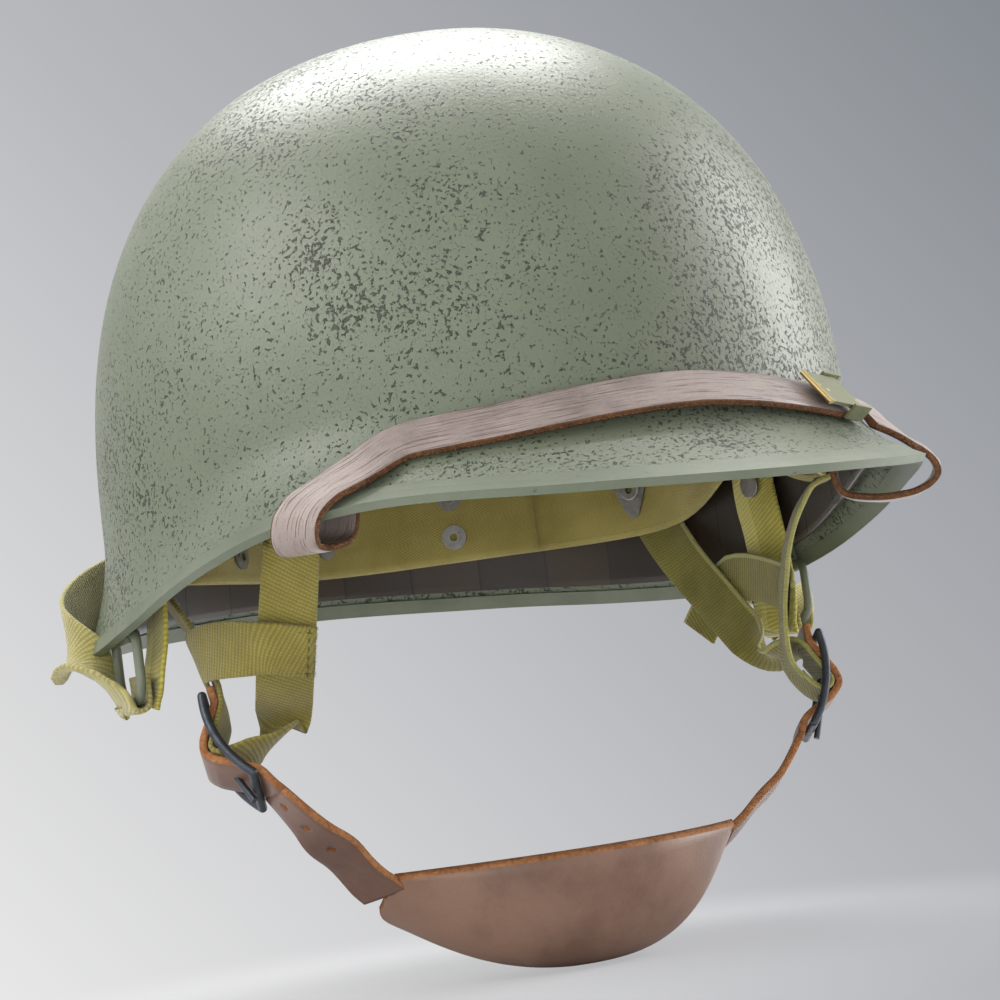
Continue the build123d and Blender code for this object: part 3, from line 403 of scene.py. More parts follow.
def web_seat(angle, height, table_reach):
    """Reach at which a standing web lies on the shell."""
    half = shell_web_width / 2
    touch = max(shell_reach(angle, height + half * k / 4) for k in range(-4, 5))
    return max(table_reach, touch + 2 * soft_gap + web_thickness / 2)


def shell_strap_route(end_angle):
    """Web round the bale's bottom wire, out under the rim and back round the shell."""
    low = bale_height - bale_drop
    loop = bale_wire_radius + 2 * soft_gap + web_thickness / 2
    stations = [web_station(bale_angle, bale_reach - loop, low + bale_bottom_fillet, 0)]
    for around in (180, 225, 270, 315, 360):
        a = radians(around)
        stations.append(web_station(bale_angle, bale_reach + loop * cos(a), low + loop * sin(a), 0))
    last_reach = last_height = 0
    for angle, reach, height, lean in shell_web_shares:
        last_height = height * low
        last_reach = reach * bale_reach
        if lean > 70:
            last_reach = web_seat(angle, last_height, last_reach)
        stations.append(web_station(angle, last_reach, last_height, lean))
    turn = buckle_bar_radius + soft_gap + web_thickness / 2 + soft_gap / 2
    last_reach = web_seat(end_angle, last_height, last_reach)
    for around in (0, 45, 90, 135, 180):
        angle = end_angle + degrees(turn * sin(radians(around)) / last_reach)
        reach = last_reach + turn - turn * cos(radians(around))
        stations.append(web_station(angle, reach, last_height, 90))
    stations.append(web_station(end_angle - 4, last_reach + 2 * turn, last_height, 90))
    return stations


def tab_route():
    low = bale_height - bale_drop
    side = wall_side(bale_angle)
    stations = [(vec(-x * bale_reach, y * bale_reach, z * low), side) for x, y, z in tab_shares]
    return stations


def anchor_stack(angle):
    """How far the band's outer face stands from the liner at its anchors."""
    plain = 2 * soft_gap + leg_thickness + leg_sag
    return plain + (web_thickness + 2 * soft_gap if abs(angle) in anchor_angles[1:3] else 0)


def band_reach(angle, depth):
    """Reach of the head band, drawn to the wall at its anchors and dipping between them."""
    a = (angle + 180) % 360 - 180
    stops = sorted(anchor_angles) + [sorted(anchor_angles)[0] + 360]
    a = a + 360 if a < stops[0] else a
    k = max(i for i in range(len(anchor_angles)) if stops[i] <= a)
    first, last = stops[k], stops[k + 1]
    x = (a - first) / (last - first)
    last_angle = last - 360 if last > 180 else last
    stack = anchor_stack(first) + (anchor_stack(last_angle) - anchor_stack(first)) * x
    dip = band_dip * sin(pi * x) ** 2
    return dome_inside(angle, wall_top(angle)) - stack - dip - depth


def band_rise(angle):
    """The band's lower edge climbs over the brow and over the ears."""
    brow = brow_rise * ((1 + cos(radians(angle))) / 2) ** 3
    side = abs((angle + 180) % 360 - 180)
    return brow + ear_rise * 2.718 ** (-(((side - ear_angle) / ear_span) ** 2))


def band_low(angle):
    return band_bottom + band_rise(angle)


def nape_low(angle):
    return band_low(angle) + soft_gap


def anchor_place(angle):
    return anchor_height + brow_rise * ((1 + cos(radians(angle))) / 2) ** 3


def leg_stations(angle, slot):
    """Centre line of a crown leg: up the liner from its anchor and over the lace."""
    depth = leg_sag + leg_thickness / 2 + (web_thickness + 2 * soft_gap if slot not in (0, 3) else 0)
    start = dome_inside(angle, wall_top(angle)) - depth
    foot = anchor_place(angle) - anchor_plate_height / 2
    shoulder = wall_top(angle) + 2 * soft_gap
    middle = (foot + shoulder) / 2
    stations = [(polar(angle, start, z), wall_side(angle)) for z in (foot, middle)]
    stations.append((polar(angle, start - soft_gap, shoulder), wall_side(angle)))
    turn = lace_radius + soft_gap + leg_thickness / 2
    crown_angle = 60 * slot if slot <= 3 else 60 * slot - 360
    top = lace_height + turn
    for u in (0.2, 0.4, 0.6, 0.8, 1.0):
        here = angle + (crown_angle - angle) * u
        reach = lace_ring_radius + (start - lace_ring_radius) * cos(u * pi / 2)
        height = shoulder + (top - shoulder) * sin(u * pi / 2)
        stations.append((polar(here, reach, height), sideways(here)))
    for around in (45, 90, 135, 180):
        reach = lace_ring_radius - turn * sin(radians(around))
        height = lace_height + turn * cos(radians(around))
        stations.append((polar(crown_angle, reach, height), sideways(crown_angle)))
    tail = polar(crown_angle, lace_ring_radius + leg_width / 2, lace_height - turn)
    stations.append((tail, sideways(crown_angle)))
    return stations


def yoke_point(x, y, z):
    return vec(x * yoke_span, y * yoke_depth, z * yoke_drop)


def buckle_plane(side):
    """X runs down the chin strap, Z points away from the face: side -1 is the wearer's right."""
    if side < 0:
        origin = yoke_point(-1, -0.29, -1)
        down, bar = vec(0.15, -0.62, -0.77), vec(0.41, 0.75, -0.52)
    else:
        origin = yoke_point(1, -0.32, -1.05)
        down, bar = vec(-0.31, -0.12, -0.94), vec(0.42, 0.87, -0.25)
    out = down.cross(bar).normalized()
    if out.x * side < 0:
        out = -out
    return Seat(origin, x_dir=down.normalized(), z_dir=out)


def buckle_point(side, x, y, z):
    """Point from shares of the buckle's half length."""
    half = buckle_length / 2
    return buckle_plane(side).from_local_coords(vec(x * half, y * half, z * half))


def wall_station(angle, height, depth):
    reach = dome_inside(angle, wall_top(angle)) - leg_sag - web_thickness / 2
    return polar(angle, reach - depth, height), wall_side(angle)


def yoke_stations(side):
    """Route of the yoke's web: down the front leg, round the buckle's bar and up the rear leg."""
    front = front_leg_right_shares if side < 0 else front_leg_left_shares
    rear = rear_leg_right_shares if side < 0 else rear_leg_left_shares
    bar = buckle_plane(side).y_dir
    front_angle, rear_angle = -side * anchor_angles[1], -side * anchor_angles[2]
    lean = -side * (11 if side < 0 else 6)
    low = band_bottom + soft_gap
    stations = [wall_station(front_angle, h, 0) for h in (anchor_place(front_angle) + leg_width / 2, low / 4)]
    stations += [(yoke_point(x, y, z), vec(*across)) for x, y, z, across in front]
    approach = web_in_right_shares if side < 0 else web_in_left_shares
    stations += [(buckle_point(side, x, y, z), vec(*across)) for x, y, z, across in approach]
    turn = (buckle_bar_radius + soft_gap + web_thickness / 2 + soft_gap / 2) / (buckle_length / 2)
    bow = buckle_bow / (buckle_length / 2)
    for around in (0, 45, 90, 130):
        a = radians(around)
        stations.append((buckle_point(side, turn * cos(a), 0, bow + turn * sin(a)), bar))
    leaving = web_out_right_shares if side < 0 else web_out_left_shares
    stations += [(buckle_point(side, x, y, z), bar) for x, y, z in leaving]
    stations += [(yoke_point(x, y, z), vec(*across)) for x, y, z, across in rear]
    if side < 0:
        stations.append(wall_station(rear_angle - lean, 1.6 * low, 3 * web_thickness))
    stations.append(wall_station(rear_angle - lean / 2, low / 2, 0))
    stations.append(wall_station(rear_angle, anchor_place(rear_angle), 0))
    stations.append(wall_station(rear_angle, anchor_place(rear_angle) + leg_width / 2, 0))
    return stations


def web_frame(side, height, leg):
    """Place on a yoke's leg at a height: centre, direction along its width, its route, direction out."""
    frames = ribbon_frames(yoke_stations(side), 2)
    half = len(frames) // 2
    part = frames[:half] if leg == "front" else frames[half:]
    centre, across, route = min(part, key=lambda f: abs(f[0].z - height))
    out = route.cross(across)
    out = out if out.x * side > 0 else -out
    return centre, across if across.y > 0 else -across, route if route.z > 0 else -route, out


def crossbar_route(side):
    """Web from the outside of the front leg over the rear leg, with a short tail on the wearer's left."""
    lift = web_thickness + 2 * soft_gap
    height = -crossbar_drop_share * yoke_drop
    front, front_across, front_up, front_out = web_frame(side, height, "front")
    rear, rear_across, rear_up, rear_out = web_frame(side, height, "rear")
    half = yoke_web_width / 2
    stations = [(front - front_across * half + front_out * lift, front_up)]
    stations.append((front + front_across * half + front_out * lift, front_up))
    stations.append((rear - rear_across * half + rear_out * lift, rear_up))
    stations.append((rear + rear_across * half + rear_out * lift, rear_up))
    if side > 0:
        stations.append((rear + rear_across * half * 1.7 + rear_out * lift - rear_up, rear_up))
    return stations


def cup_point(u, v, inset):
    """Point of the cup's outer face: u runs to the wearer's left, v from front edge to rear edge."""
    across = cup_end_share + (1 - cup_end_share) * (1 - u * u) ** 0.8
    swell = (1 - abs(u) ** 2.4) * sin(pi * v) ** 0.85
    width = cup_span_width * across
    x = cup_half_length * u
    y = cup_front_place - cup_forward * (1 - u * u) + width * v * 0.8 - cup_depth * 0.16 * swell
    z = cup_front_height - width * v * (0.6 - 0.3 * v * (1 - u * u)) - cup_depth * 0.6 * swell
    return vec(x, y, z) + vec(-0.25 * u, 0.45, 0.85).normalized() * inset


def chin_strap_route(side):
    """Strap from the cup, in under the lower bar, out over the web and in under the upper bar."""
    bar = buckle_plane(side).y_dir
    root = (cup_point(side, 0, chin_leather / 2) + cup_point(side, 1, chin_leather / 2)) / 2
    width_way = cup_point(side, 1, 0) - cup_point(side, 0, 0)
    away = vec(side, 0, 0)
    root = root + away * 2 * soft_gap
    lower = buckle_point(side, *(strap_in_buckle_shares[0][0], 0, strap_in_buckle_shares[0][1]))
    width_way = width_way.normalized() * (1 if width_way.dot(bar) > 0 else -1)
    stations = []
    for share, turn, lift in strap_run_shares:
        centre = root * (1 - share) + lower * share + vec(0, 0, lift * chin_leather)
        stations.append((centre, width_way * (1 - turn) + bar * turn))
    stations += [(buckle_point(side, x, 0, z), bar) for x, z in strap_in_buckle_shares[1:]]
    return stations


def front_station(angle):
    """The strap's seat against dome and brim at a wall angle, pushed clear of the shell."""
    side = abs(angle)
    table = sorted(brim_front_shares)
    k = max(i for i in range(len(table) - 1) if table[i][0] <= side)
    x = (side - table[k][0]) / (table[k + 1][0] - table[k][0])
    height = rim_drop * (table[k][1] + (table[k + 1][1] - table[k][1]) * x)
    across = vec(0, 0, 0.785) - outward(angle) * 0.62
    out = outward(angle) * 0.785 + vec(0, 0, 0.62)
    start = polar(angle, dome_reach(angle), height)
    push = -brim_strap_width
    for k in range(61):
        for turn in (-2, 0, 2):
            point = shell_surface(angle + turn, 0.7 + 1.3 * k / 60)
            if abs((point - start).dot(across)) < brim_strap_width / 2 + soft_gap:
                push = max(push, (point - start).dot(out))
    return start + out * (push + soft_gap + brim_leather / 2), across


def brim_end_stations():
    """The strap's end on the wearer's right: off the liner's wall, round the rim and up to the front."""
    stations = []
    for angle, reach, height, across in brim_route_shares:
        stations.append((polar(angle, reach * rim_front_reach, height * rim_drop), vec(*across)))
    return stations


def brim_strap_long_route():
    stations = brim_end_stations()
    for angle in (39, 33, 26, 18, 9, 0, -9, -18, -26, cam_angle, cam_angle - 3):
        stations.append(front_station(angle))
    return stations


def brim_strap_short_route():
    stations = brim_end_stations() + [front_station(a) for a in (41, cam_tail_angle)]
    return [(vec(-c.x, c.y, c.z), vec(-s.x, s.y, s.z)) for c, s in stations]


def cam_plane():
    """X runs along the strap, Z points away from the shell."""
    centre, across = front_station(cam_angle)
    route = (front_station(cam_angle - 2)[0] - front_station(cam_angle + 2)[0]).normalized()
    out = route.cross(across).normalized()
    if out.dot(outward(cam_angle)) < 0:
        out = -out
    return Seat(centre, x_dir=route, z_dir=out)


def cam_pin_height():
    return brim_leather / 2 + metal_gap + cam_pin_radius + cam_lever_wall

# Camera and room


camera_angles = (-29.97, -4.49, -7.62)
camera_aim = Vector((8.54, 2.25, -2.11))
camera_away = 794.8
focal_pixels = 2615.4
picture_pixels = 1000
picture_shift = (8.76, 14.8)
sensor_width = 36


def place_camera():
    """The photograph's view: a long lens from a little below the rim, tipped over to the right."""
    turn, rise, roll = [radians(a) for a in camera_angles]
    middle = camera_aim / 1000
    back = Vector((sin(turn) * cos(rise), -cos(turn) * cos(rise), sin(rise)))
    right = (-back).cross(Vector((0, 0, 1))).normalized()
    up = right.cross(-back)
    right, up = cos(roll) * right + sin(roll) * up, -sin(roll) * right + cos(roll) * up
    lens = bpy.data.cameras.new("view")
    lens.sensor_width = sensor_width
    lens.lens = sensor_width * focal_pixels / picture_pixels
    lens.shift_x = -picture_shift[0] / picture_pixels
    lens.shift_y = picture_shift[1] / picture_pixels
    lens.clip_start = 0.02
    lens.clip_end = 60
    camera = bpy.data.objects.new("view", lens)
    place = Matrix((right, up, back)).transposed().to_4x4()
    place.translation = middle + back * camera_away / 1000
    camera.matrix_world = place
    bpy.context.collection.objects.link(camera)
    bpy.context.scene.camera = camera
    return right, up, back


def add_lamp(name, place, aim, size, power, colour=(1, 1, 1)):
    lamp = bpy.data.lights.new(name, "AREA")
    lamp.shape = "RECTANGLE"
    lamp.size, lamp.size_y = size
    lamp.energy = power
    lamp.color = colour
    thing = bpy.data.objects.new(name, lamp)
    thing.location = place
    thing.rotation_euler = (Vector(place) - Vector(aim)).to_track_quat("Z", "Y").to_euler()
    bpy.context.collection.objects.link(thing)


# Shader maths


class Wire:
    """A number or colour on its way through a material's nodes."""

    def __init__(self, finish, socket):
        self.finish, self.socket = finish, socket

    def _maths(self, kind, a, b=None, c=None):
        values = {0: a}
        if b is not None:
            values[1] = b
        if c is not None:
            values[2] = c
        return self.finish.node("ShaderNodeMath", {"operation": kind}, values)[0]

    def __add__(self, other):
        return self._maths("ADD", self, other)

    def __sub__(self, other):
        return self._maths("SUBTRACT", self, other)

    def __rsub__(self, other):
        return self._maths("SUBTRACT", other, self)

    def __mul__(self, other):
        return self._maths("MULTIPLY", self, other)

    def __truediv__(self, other):
        return self._maths("DIVIDE", self, other)

    def __pow__(self, other):
        return self._maths("POWER", self, other)

    def __mod__(self, other):
        return self._maths("FLOORED_MODULO", self, other)

    __radd__ = __add__
    __rmul__ = __mul__

    def sine(self):
        return self._maths("SINE", self)

    def size(self):
        return self._maths("ABSOLUTE", self)

    def floor(self):
        return self._maths("FLOOR", self)

    def top(self, other):
        return self._maths("MAXIMUM", self, other)

    def least(self, other):
        return self._maths("MINIMUM", self, other)

    def fade(self, low, high):
        """0 below low and 1 above high, smooth between."""
        values = {0: self, 1: low, 2: high, 3: 0.0, 4: 1.0}
        return self.finish.node("ShaderNodeMapRange", {"interpolation_type": "SMOOTHSTEP"}, values)[0]


class Finish:
    """A material with one Principled shader, built node by node."""

    def __init__(self, name, roughness=0.6, metallic=0.0, specular=0.5, **fixed):
        self.material = bpy.data.materials.new(name)
        self.material.use_nodes = True
        self.tree = self.material.node_tree
        self.shader = next(n for n in self.tree.nodes if n.type == "BSDF_PRINCIPLED")
        self.shader.inputs["Roughness"].default_value = roughness
        self.shader.inputs["Metallic"].default_value = metallic
        self.shader.inputs["Specular IOR Level"].default_value = specular
        for socket, value in fixed.items():
            self.shader.inputs[socket.replace("_", " ")].default_value = value
        coordinates = self.tree.nodes.new("ShaderNodeTexCoord")
        self.place = Wire(self, coordinates.outputs["Object"])
        self.cloth = Wire(self, coordinates.outputs["UV"])

    def node(self, kind, settings, values):
        made = self.tree.nodes.new(kind)
        for key, value in settings.items():
            if key == "stops":
                ramp = made.color_ramp
                while len(ramp.elements) < len(value):
                    ramp.elements.new(0.5)
                for element, (place, colour) in zip(ramp.elements, value):
                    element.position = place
                    element.color = (*colour, 1)
            else:
                setattr(made, key, value)
        for key, value in values.items():
            if isinstance(value, Wire):
                self.tree.links.new(value.socket, made.inputs[key])
            else:
                made.inputs[key].default_value = value
        return [Wire(self, o) for o in made.outputs]

    def parts(self, vector):
        return self.node("ShaderNodeSeparateXYZ", {}, {0: vector})

    def join(self, x, y, z=0.0):
        return self.node("ShaderNodeCombineXYZ", {}, {0: x, 1: y, 2: z})[0]

    def spots(self, vector, scale, detail=2.0, roughness=0.5, dimensions="3D"):
        got = self.node(
            "ShaderNodeTexNoise", {"noise_dimensions": dimensions},
            {"Vector": vector, "Scale": scale, "Detail": detail, "Roughness": roughness},
        )
        return got[0]

    def cells(self, vector, scale, feature="F1", randomness=1.0):
        values = {"Vector": vector, "Scale": scale, "Randomness": randomness}
        return self.node("ShaderNodeTexVoronoi", {"feature": feature}, values)

    def mix(self, share, low, high):
        low = (*low, 1) if isinstance(low, tuple) else low
        high = (*high, 1) if isinstance(high, tuple) else high
        return self.node("ShaderNodeMix", {"data_type": "RGBA"}, {0: share, 6: low, 7: high})[2]

    def bump(self, height, depth, strength=1.0, before=None):
        values = {"Height": height, "Distance": depth, "Strength": strength}
        if before is not None:
            values["Normal"] = before
        return self.node("ShaderNodeBump", {}, values)[0]

    def done(self, colour=None, roughness=None, normal=None, metallic=None):
        given = (("Base Color", colour), ("Roughness", roughness), ("Normal", normal), ("Metallic", metallic))
        for socket, value in given:
            if isinstance(value, Wire):
                self.tree.links.new(value.socket, self.shader.inputs[socket])
            elif isinstance(value, tuple):
                self.shader.inputs[socket].default_value = (*value, 1)
            elif value is not None:
                self.shader.inputs[socket].default_value = value
        return self.material


# Finishes. Object coordinates are metres and cloth coordinates are centimetres


def cork_paint():
    """Olive paint over cork grains: ragged dark lumps, darkened partly by their own dark paint and partly as
    painted shade of their shadowed sides, crowded in drifts, over a fine orange peel.
    """
    f = Finish("cork_paint", roughness=0.45, specular=0.5)
    drift = f.spots(f.place, 26.0, 4.0, 0.6)
    wide = f.spots(f.place, 8.0, 2.0, 0.5)
    crowd = (drift * 0.7 + wide * 0.4 - 0.55).fade(-0.09, 0.12)
    ragged = f.spots(f.place, 800.0, 3.0, 0.6)
    grain = (ragged - (0.645 - crowd * 0.095)).fade(0.0, 0.012)
    body = (ragged - (0.620 - crowd * 0.095)).fade(0.0, 0.06)
    dust_noise = f.spots(f.place, 1500.0, 2.0, 0.5)
    dust = (dust_noise - (0.70 - crowd * 0.06)).fade(0.0, 0.02)
    peel = f.spots(f.place, 1000.0, 2.0, 0.6)
    tone = f.spots(f.place, 14.0, 3.0, 0.6)
    paint = f.mix(tone.fade(0.3, 0.7), (0.128, 0.148, 0.098), (0.158, 0.180, 0.124))
    # The grains darken the paint: partly their own dark paint, partly painted shade standing in for their
    # shadowed sides.
    colour = f.mix(grain * 0.86, paint, (0.026, 0.036, 0.020))
    colour = f.mix(dust * 0.5, colour, (0.045, 0.058, 0.036))
    rough = 0.36 + grain * 0.16 + peel * 0.08
    normal = f.bump(peel * 0.16 + body * 1.6 + dust * 0.5, 0.0009, 1.0)
    return f.done(colour, rough, normal)


def plain_paint(name, low, high, roughness=0.42, chips=None):
    f = Finish(name, roughness=roughness, specular=0.5)
    tone = f.spots(f.place, 60.0, 4.0, 0.6)
    colour = f.mix(tone.fade(0.3, 0.7), low, high)
    worn = f.spots(f.place, 420.0, 5.0, 0.7)
    if chips:
        colour = f.mix((worn - 0.66).fade(0, 0.03), colour, chips)
    normal = f.bump(f.spots(f.place, 1500.0, 2.0, 0.5), 0.0001, 0.5)
    return f.done(colour, roughness + worn * 0.12, normal)


def liner_fibre():
    """Brown woven cloth set in glossy resin, in strips laid side by side."""
    f = Finish("liner_fibre", roughness=0.33, specular=0.5)
    u, v, _ = f.parts(f.cloth)
    strip = u / 2.4
    number = strip.floor()
    tone = f.node("ShaderNodeTexWhiteNoise", {"noise_dimensions": "1D"}, {"W": number})[0]
    over = ((u * 48).sine() * (v * 48).sine()) * 0.5 + 0.5
    stain = f.spots(f.place, 26.0, 4.0, 0.62)
    base = f.mix(tone, (0.022, 0.013, 0.007), (0.056, 0.032, 0.015))
    base = f.mix(over * 0.75, base, (0.016, 0.010, 0.006))
    base = f.mix(stain.fade(0.42, 0.7) * 0.6, base, (0.030, 0.026, 0.026))
    seam = (((strip % 1.0) - 0.5).size() - 0.475).fade(0, 0.02)
    base = f.mix(seam * 0.8, base, (0.012, 0.008, 0.006))
    normal = f.bump(over - seam, 0.00012, 0.7)
    return f.done(base, 0.22 + stain * 0.22 + seam * 0.2, normal)


def herringbone(name, low, high, pitch=0.11, run=0.62):
    """Twill whose diagonal turns back at each run, with a fuzzy matt nap."""
    f = Finish(name, roughness=0.92, specular=0.18, Sheen_Weight=0.25, Sheen_Roughness=0.5)
    u, v, _ = f.parts(f.cloth)
    wander = f.spots(f.cloth, 1.5, 2.0, 0.5) * 0.12
    turn = ((v / run + wander * 0.2) % 1.0 - 0.5).size() * run
    line = ((u + turn * 2.0 + wander) * (2 * pi / pitch)).sine() * 0.5 + 0.5
    thread = ((v * 2 - u * 0.2) * (2 * pi / (pitch * 0.9))).sine() * 0.5 + 0.5
    weave = line * 0.7 + thread * 0.3
    fuzz = f.spots(f.place, 1500.0, 3.0, 0.7)
    tone = f.spots(f.place, 45.0, 3.0, 0.6)
    colour = f.mix((tone * 0.6 + fuzz * 0.4).fade(0.3, 0.7), low, high)
    # Painted shade: the hollows of the weave are darkened towards a dim copy of the low colour.
    shade = tuple(c * 0.42 for c in low)
    colour = f.mix((1 - weave) * 0.5, colour, shade)
    normal = f.bump(weave + fuzz * 0.5, 0.00028, 0.8)
    return f.done(colour, None, normal)


def ribbed_web(name, low, high, pitch=0.125, edge=None, edge_colour=None):
    """Narrow woven web: rows of plump threads across it and a fine twill along it."""
    f = Finish(name, roughness=0.93, specular=0.15, Sheen_Weight=0.3, Sheen_Roughness=0.5)
    u, v, _ = f.parts(f.cloth)
    wander = f.spots(f.cloth, 2.2, 2.0, 0.5) * 0.05
    row = ((v + u * 0.35 + wander) * (2 * pi / pitch)).sine() * 0.5 + 0.5
    cross = ((u - v * 0.25) * (2 * pi / (pitch * 0.8))).sine() * 0.5 + 0.5
    weave = row * 0.55 + (row * cross) * 0.45
    fuzz = f.spots(f.place, 1700.0, 3.0, 0.7)
    tone = f.spots(f.place, 60.0, 4.0, 0.65)
    colour = f.mix((tone * 0.7 + fuzz * 0.3).fade(0.3, 0.7), low, high)
    # Painted shade: the hollows between the rows are darkened towards a dim copy of the low colour.
    colour = f.mix((1 - weave) * 0.55, colour, tuple(c * 0.42 for c in low))
    if edge is not None:
        band = (u - edge[0]).fade(-0.02, 0.02) * (edge[1] - u).fade(-0.02, 0.02)
        colour = f.mix(band * 0.8, colour, edge_colour)
    normal = f.bump(weave + fuzz * 0.8, 0.00026, 0.8)
    return f.done(colour, None, normal)


def leather(name, low, high, deep, gloss=0.42, scored=0.0):
    f = Finish(name, roughness=gloss, specular=0.4)
    u, v, _ = f.parts(f.cloth)
    cloud = f.spots(f.place, 28.0, 5.0, 0.62)
    grain = f.cells(f.place, 1500.0)[0]
    pores = f.spots(f.place, 2600.0, 2.0, 0.6)
    colour = f.mix(cloud.fade(0.32, 0.66), low, high)
    colour = f.mix((pores - 0.55).fade(0, 0.2) * 0.35, colour, deep)
    height = grain * 0.4 + pores * 0.35
    if scored:
        streak = f.spots(f.join(u * 26, v * 0.55), 1.0, 4.0, 0.65)
        line = (streak - 0.56).fade(0, 0.05)
        colour = f.mix(line * scored, colour, deep)
        worn = tuple(min(1, c * 1.5) for c in high)
        colour = f.mix((0.42 - streak).fade(0, 0.06) * scored * 0.6, colour, worn)
        height = height - line * 0.8
    normal = f.bump(height, 0.00016, 0.6)
    return f.done(colour, gloss + cloud * 0.22, normal)


def raw_edge(name, low, high):
    """Cut edge of the leather: fibrous and rough."""
    f = Finish(name, roughness=0.85, specular=0.2)
    fibre = f.spots(f.place, 900.0, 4.0, 0.7)
    patch = f.spots(f.place, 120.0, 3.0, 0.6)
    colour = f.mix((fibre * 0.6 + patch * 0.4).fade(0.3, 0.7), low, high)
    return f.done(colour, None, f.bump(fibre, 0.0005, 0.9))


def bare_metal(name, colour, roughness=0.35, spotted=0.25, metallic=1.0):
    f = Finish(name, roughness=roughness, metallic=metallic)
    cloud = f.spots(f.place, 260.0, 5.0, 0.7)
    tone = f.mix(cloud.fade(0.35, 0.7) * spotted, colour, tuple(c * 0.4 for c in colour))
    normal = f.bump(f.spots(f.place, 2200.0, 3.0, 0.6), 0.00008, 0.6)
    return f.done(tone, roughness + cloud * 0.2, normal)


def cam_finish():
    """Olive lacquer worn through to brass along the rolled edge."""
    f = Finish("cam_lacquer", roughness=0.4)
    seat = cam_plane()
    edge = seat.from_local_coords((cam_edge, 0, cam_pin_height() + cam_lever_wall / 2)) / 1000
    away = f.node("ShaderNodeVectorMath", {"operation": "SUBTRACT"}, {0: f.place, 1: tuple(edge)})[0]
    reach = f.node("ShaderNodeVectorMath", {"operation": "DOT_PRODUCT"}, {0: away, 1: tuple(seat.x_dir)})[1]
    wear = f.spots(f.place, 500.0, 4.0, 0.7)
    bare = 1 - (reach.size() * 1000 + wear * 1.2 - 1.5).fade(0, 0.35)
    scuffs = (f.spots(f.place, 260.0, 5.0, 0.7) - 0.63).fade(0, 0.03)
    paint = f.mix(wear, (0.105, 0.110, 0.042), (0.165, 0.170, 0.075))
    colour = f.mix(bare.top(scuffs * 0.7), paint, (0.62, 0.47, 0.20))
    return f.done(colour, 0.5 - bare * 0.22, f.bump(wear, 0.0001, 0.5), bare)


# Mesh making


def new_piece(name, points, faces, cloth=None, edge_faces=(), materials=(), smooth=True):
    """Mesh in metres from points in millimetres, with cloth coordinates for each point of each face."""
    mesh = bpy.data.meshes.new(name)
    mesh.from_pydata([Vector(p) / 1000 for p in points], [], faces)
    if cloth:
        layer = mesh.uv_layers.new(name="cloth")
        flat = [c for face in cloth for uv in face for c in uv]
        layer.data.foreach_set("uv", flat)
    for face in mesh.polygons:
        face.use_smooth = smooth
    for index in edge_faces:
        mesh.polygons[index].material_index = 1
    thing = bpy.data.objects.new(name, mesh)
    bpy.context.collection.objects.link(thing)
    for material in materials:
        mesh.materials.append(material)
    return thing


def outward_faces(thing):
    made = bmesh.new()
    made.from_mesh(thing.data)
    bmesh.ops.remove_doubles(made, verts=made.verts, dist=1e-7)
    bmesh.ops.recalc_face_normals(made, faces=made.faces)
    made.to_mesh(thing.data)
    made.free()
    return thing


def settle(thing):
    """Bake a piece's modifiers into its mesh."""
    bpy.context.view_layer.update()
    mesh = bpy.data.meshes.new_from_object(thing.evaluated_get(bpy.context.evaluated_depsgraph_get()))
    thing.modifiers.clear()
    old, thing.data = thing.data, mesh
    mesh.name = thing.name
    bpy.data.meshes.remove(old)
    return thing


def strap_profile(width, thickness, crown, edge, around):
    """Half widths and depths round a strap's section: rounded edges and a slightly domed face."""
    points = []
    half, depth = width / 2, thickness / 2
    for k in range(around + 1):
        x = -1 + 2 * k / around
        points.append((x * (half - edge), depth + crown * (1 - x * x)))
    points += [(half - edge * 0.3, depth * 0.72), (half, 0), (half - edge * 0.3, -depth * 0.72)]
    for k in range(around + 1):
        x = 1 - 2 * k / around
        points.append((x * (half - edge), -depth - crown * 0.3 * (1 - x * x)))
    points += [(-half + edge * 0.3, -depth * 0.72), (-half, 0), (-half + edge * 0.3, depth * 0.72)]
    return points


strap_face_steps = 6


def strap(name, stations, width, thickness, materials, steps=6, crown=0.0, edge=None, ruffle=0.0):
    """Strap along a route, with a rounded section, cloth coordinates and a second finish on its edges."""
    edge = thickness * 0.35 if edge is None else edge
    around = strap_face_steps
    frames = ribbon_frames(stations, steps) if len(stations[0]) == 2 else stations
    profile = strap_profile(width, thickness, crown, edge, around)
    count = len(profile)
    top = range(0, around)
    lower = range(around + 4, around + 4 + around)
    points, faces, cloth, edges = [], [], [], []
    run = 0
    runs = []
    for i, (centre, side, route) in enumerate(frames):
        if i:
            run += (centre - frames[i - 1][0]).length
        runs.append(run)
        face = route.cross(side)
        for x, y in profile:
            lift = ruffle * noise.noise(Vector((x * 0.12, run * 0.09, len(name)))) if ruffle else 0
            points.append(centre + side * x + face * (y + lift))
    for i in range(len(frames) - 1):
        for k in range(count):
            j = (k + 1) % count
            a, b = i * count, (i + 1) * count
            faces.append((a + k, b + k, b + j, a + j))
            if k not in top and k not in lower:
                edges.append(len(faces) - 1)
            xs = [profile[k][0] / 10, profile[k][0] / 10, profile[j][0] / 10, profile[j][0] / 10]
            vs = [runs[i] / 10, runs[i + 1] / 10, runs[i + 1] / 10, runs[i] / 10]
            cloth.append(list(zip(xs, vs)))
    for end, order in ((0, range(count - 1, -1, -1)), ((len(frames) - 1) * count, range(count))):
        faces.append(tuple(end + k for k in order))
        edges.append(len(faces) - 1)
        cloth.append([(profile[k][0] / 10, runs[0 if end == 0 else -1] / 10) for k in order])
    thing = new_piece(name, points, faces, cloth, edges if len(materials) > 1 else (), materials)
    return outward_faces(thing)


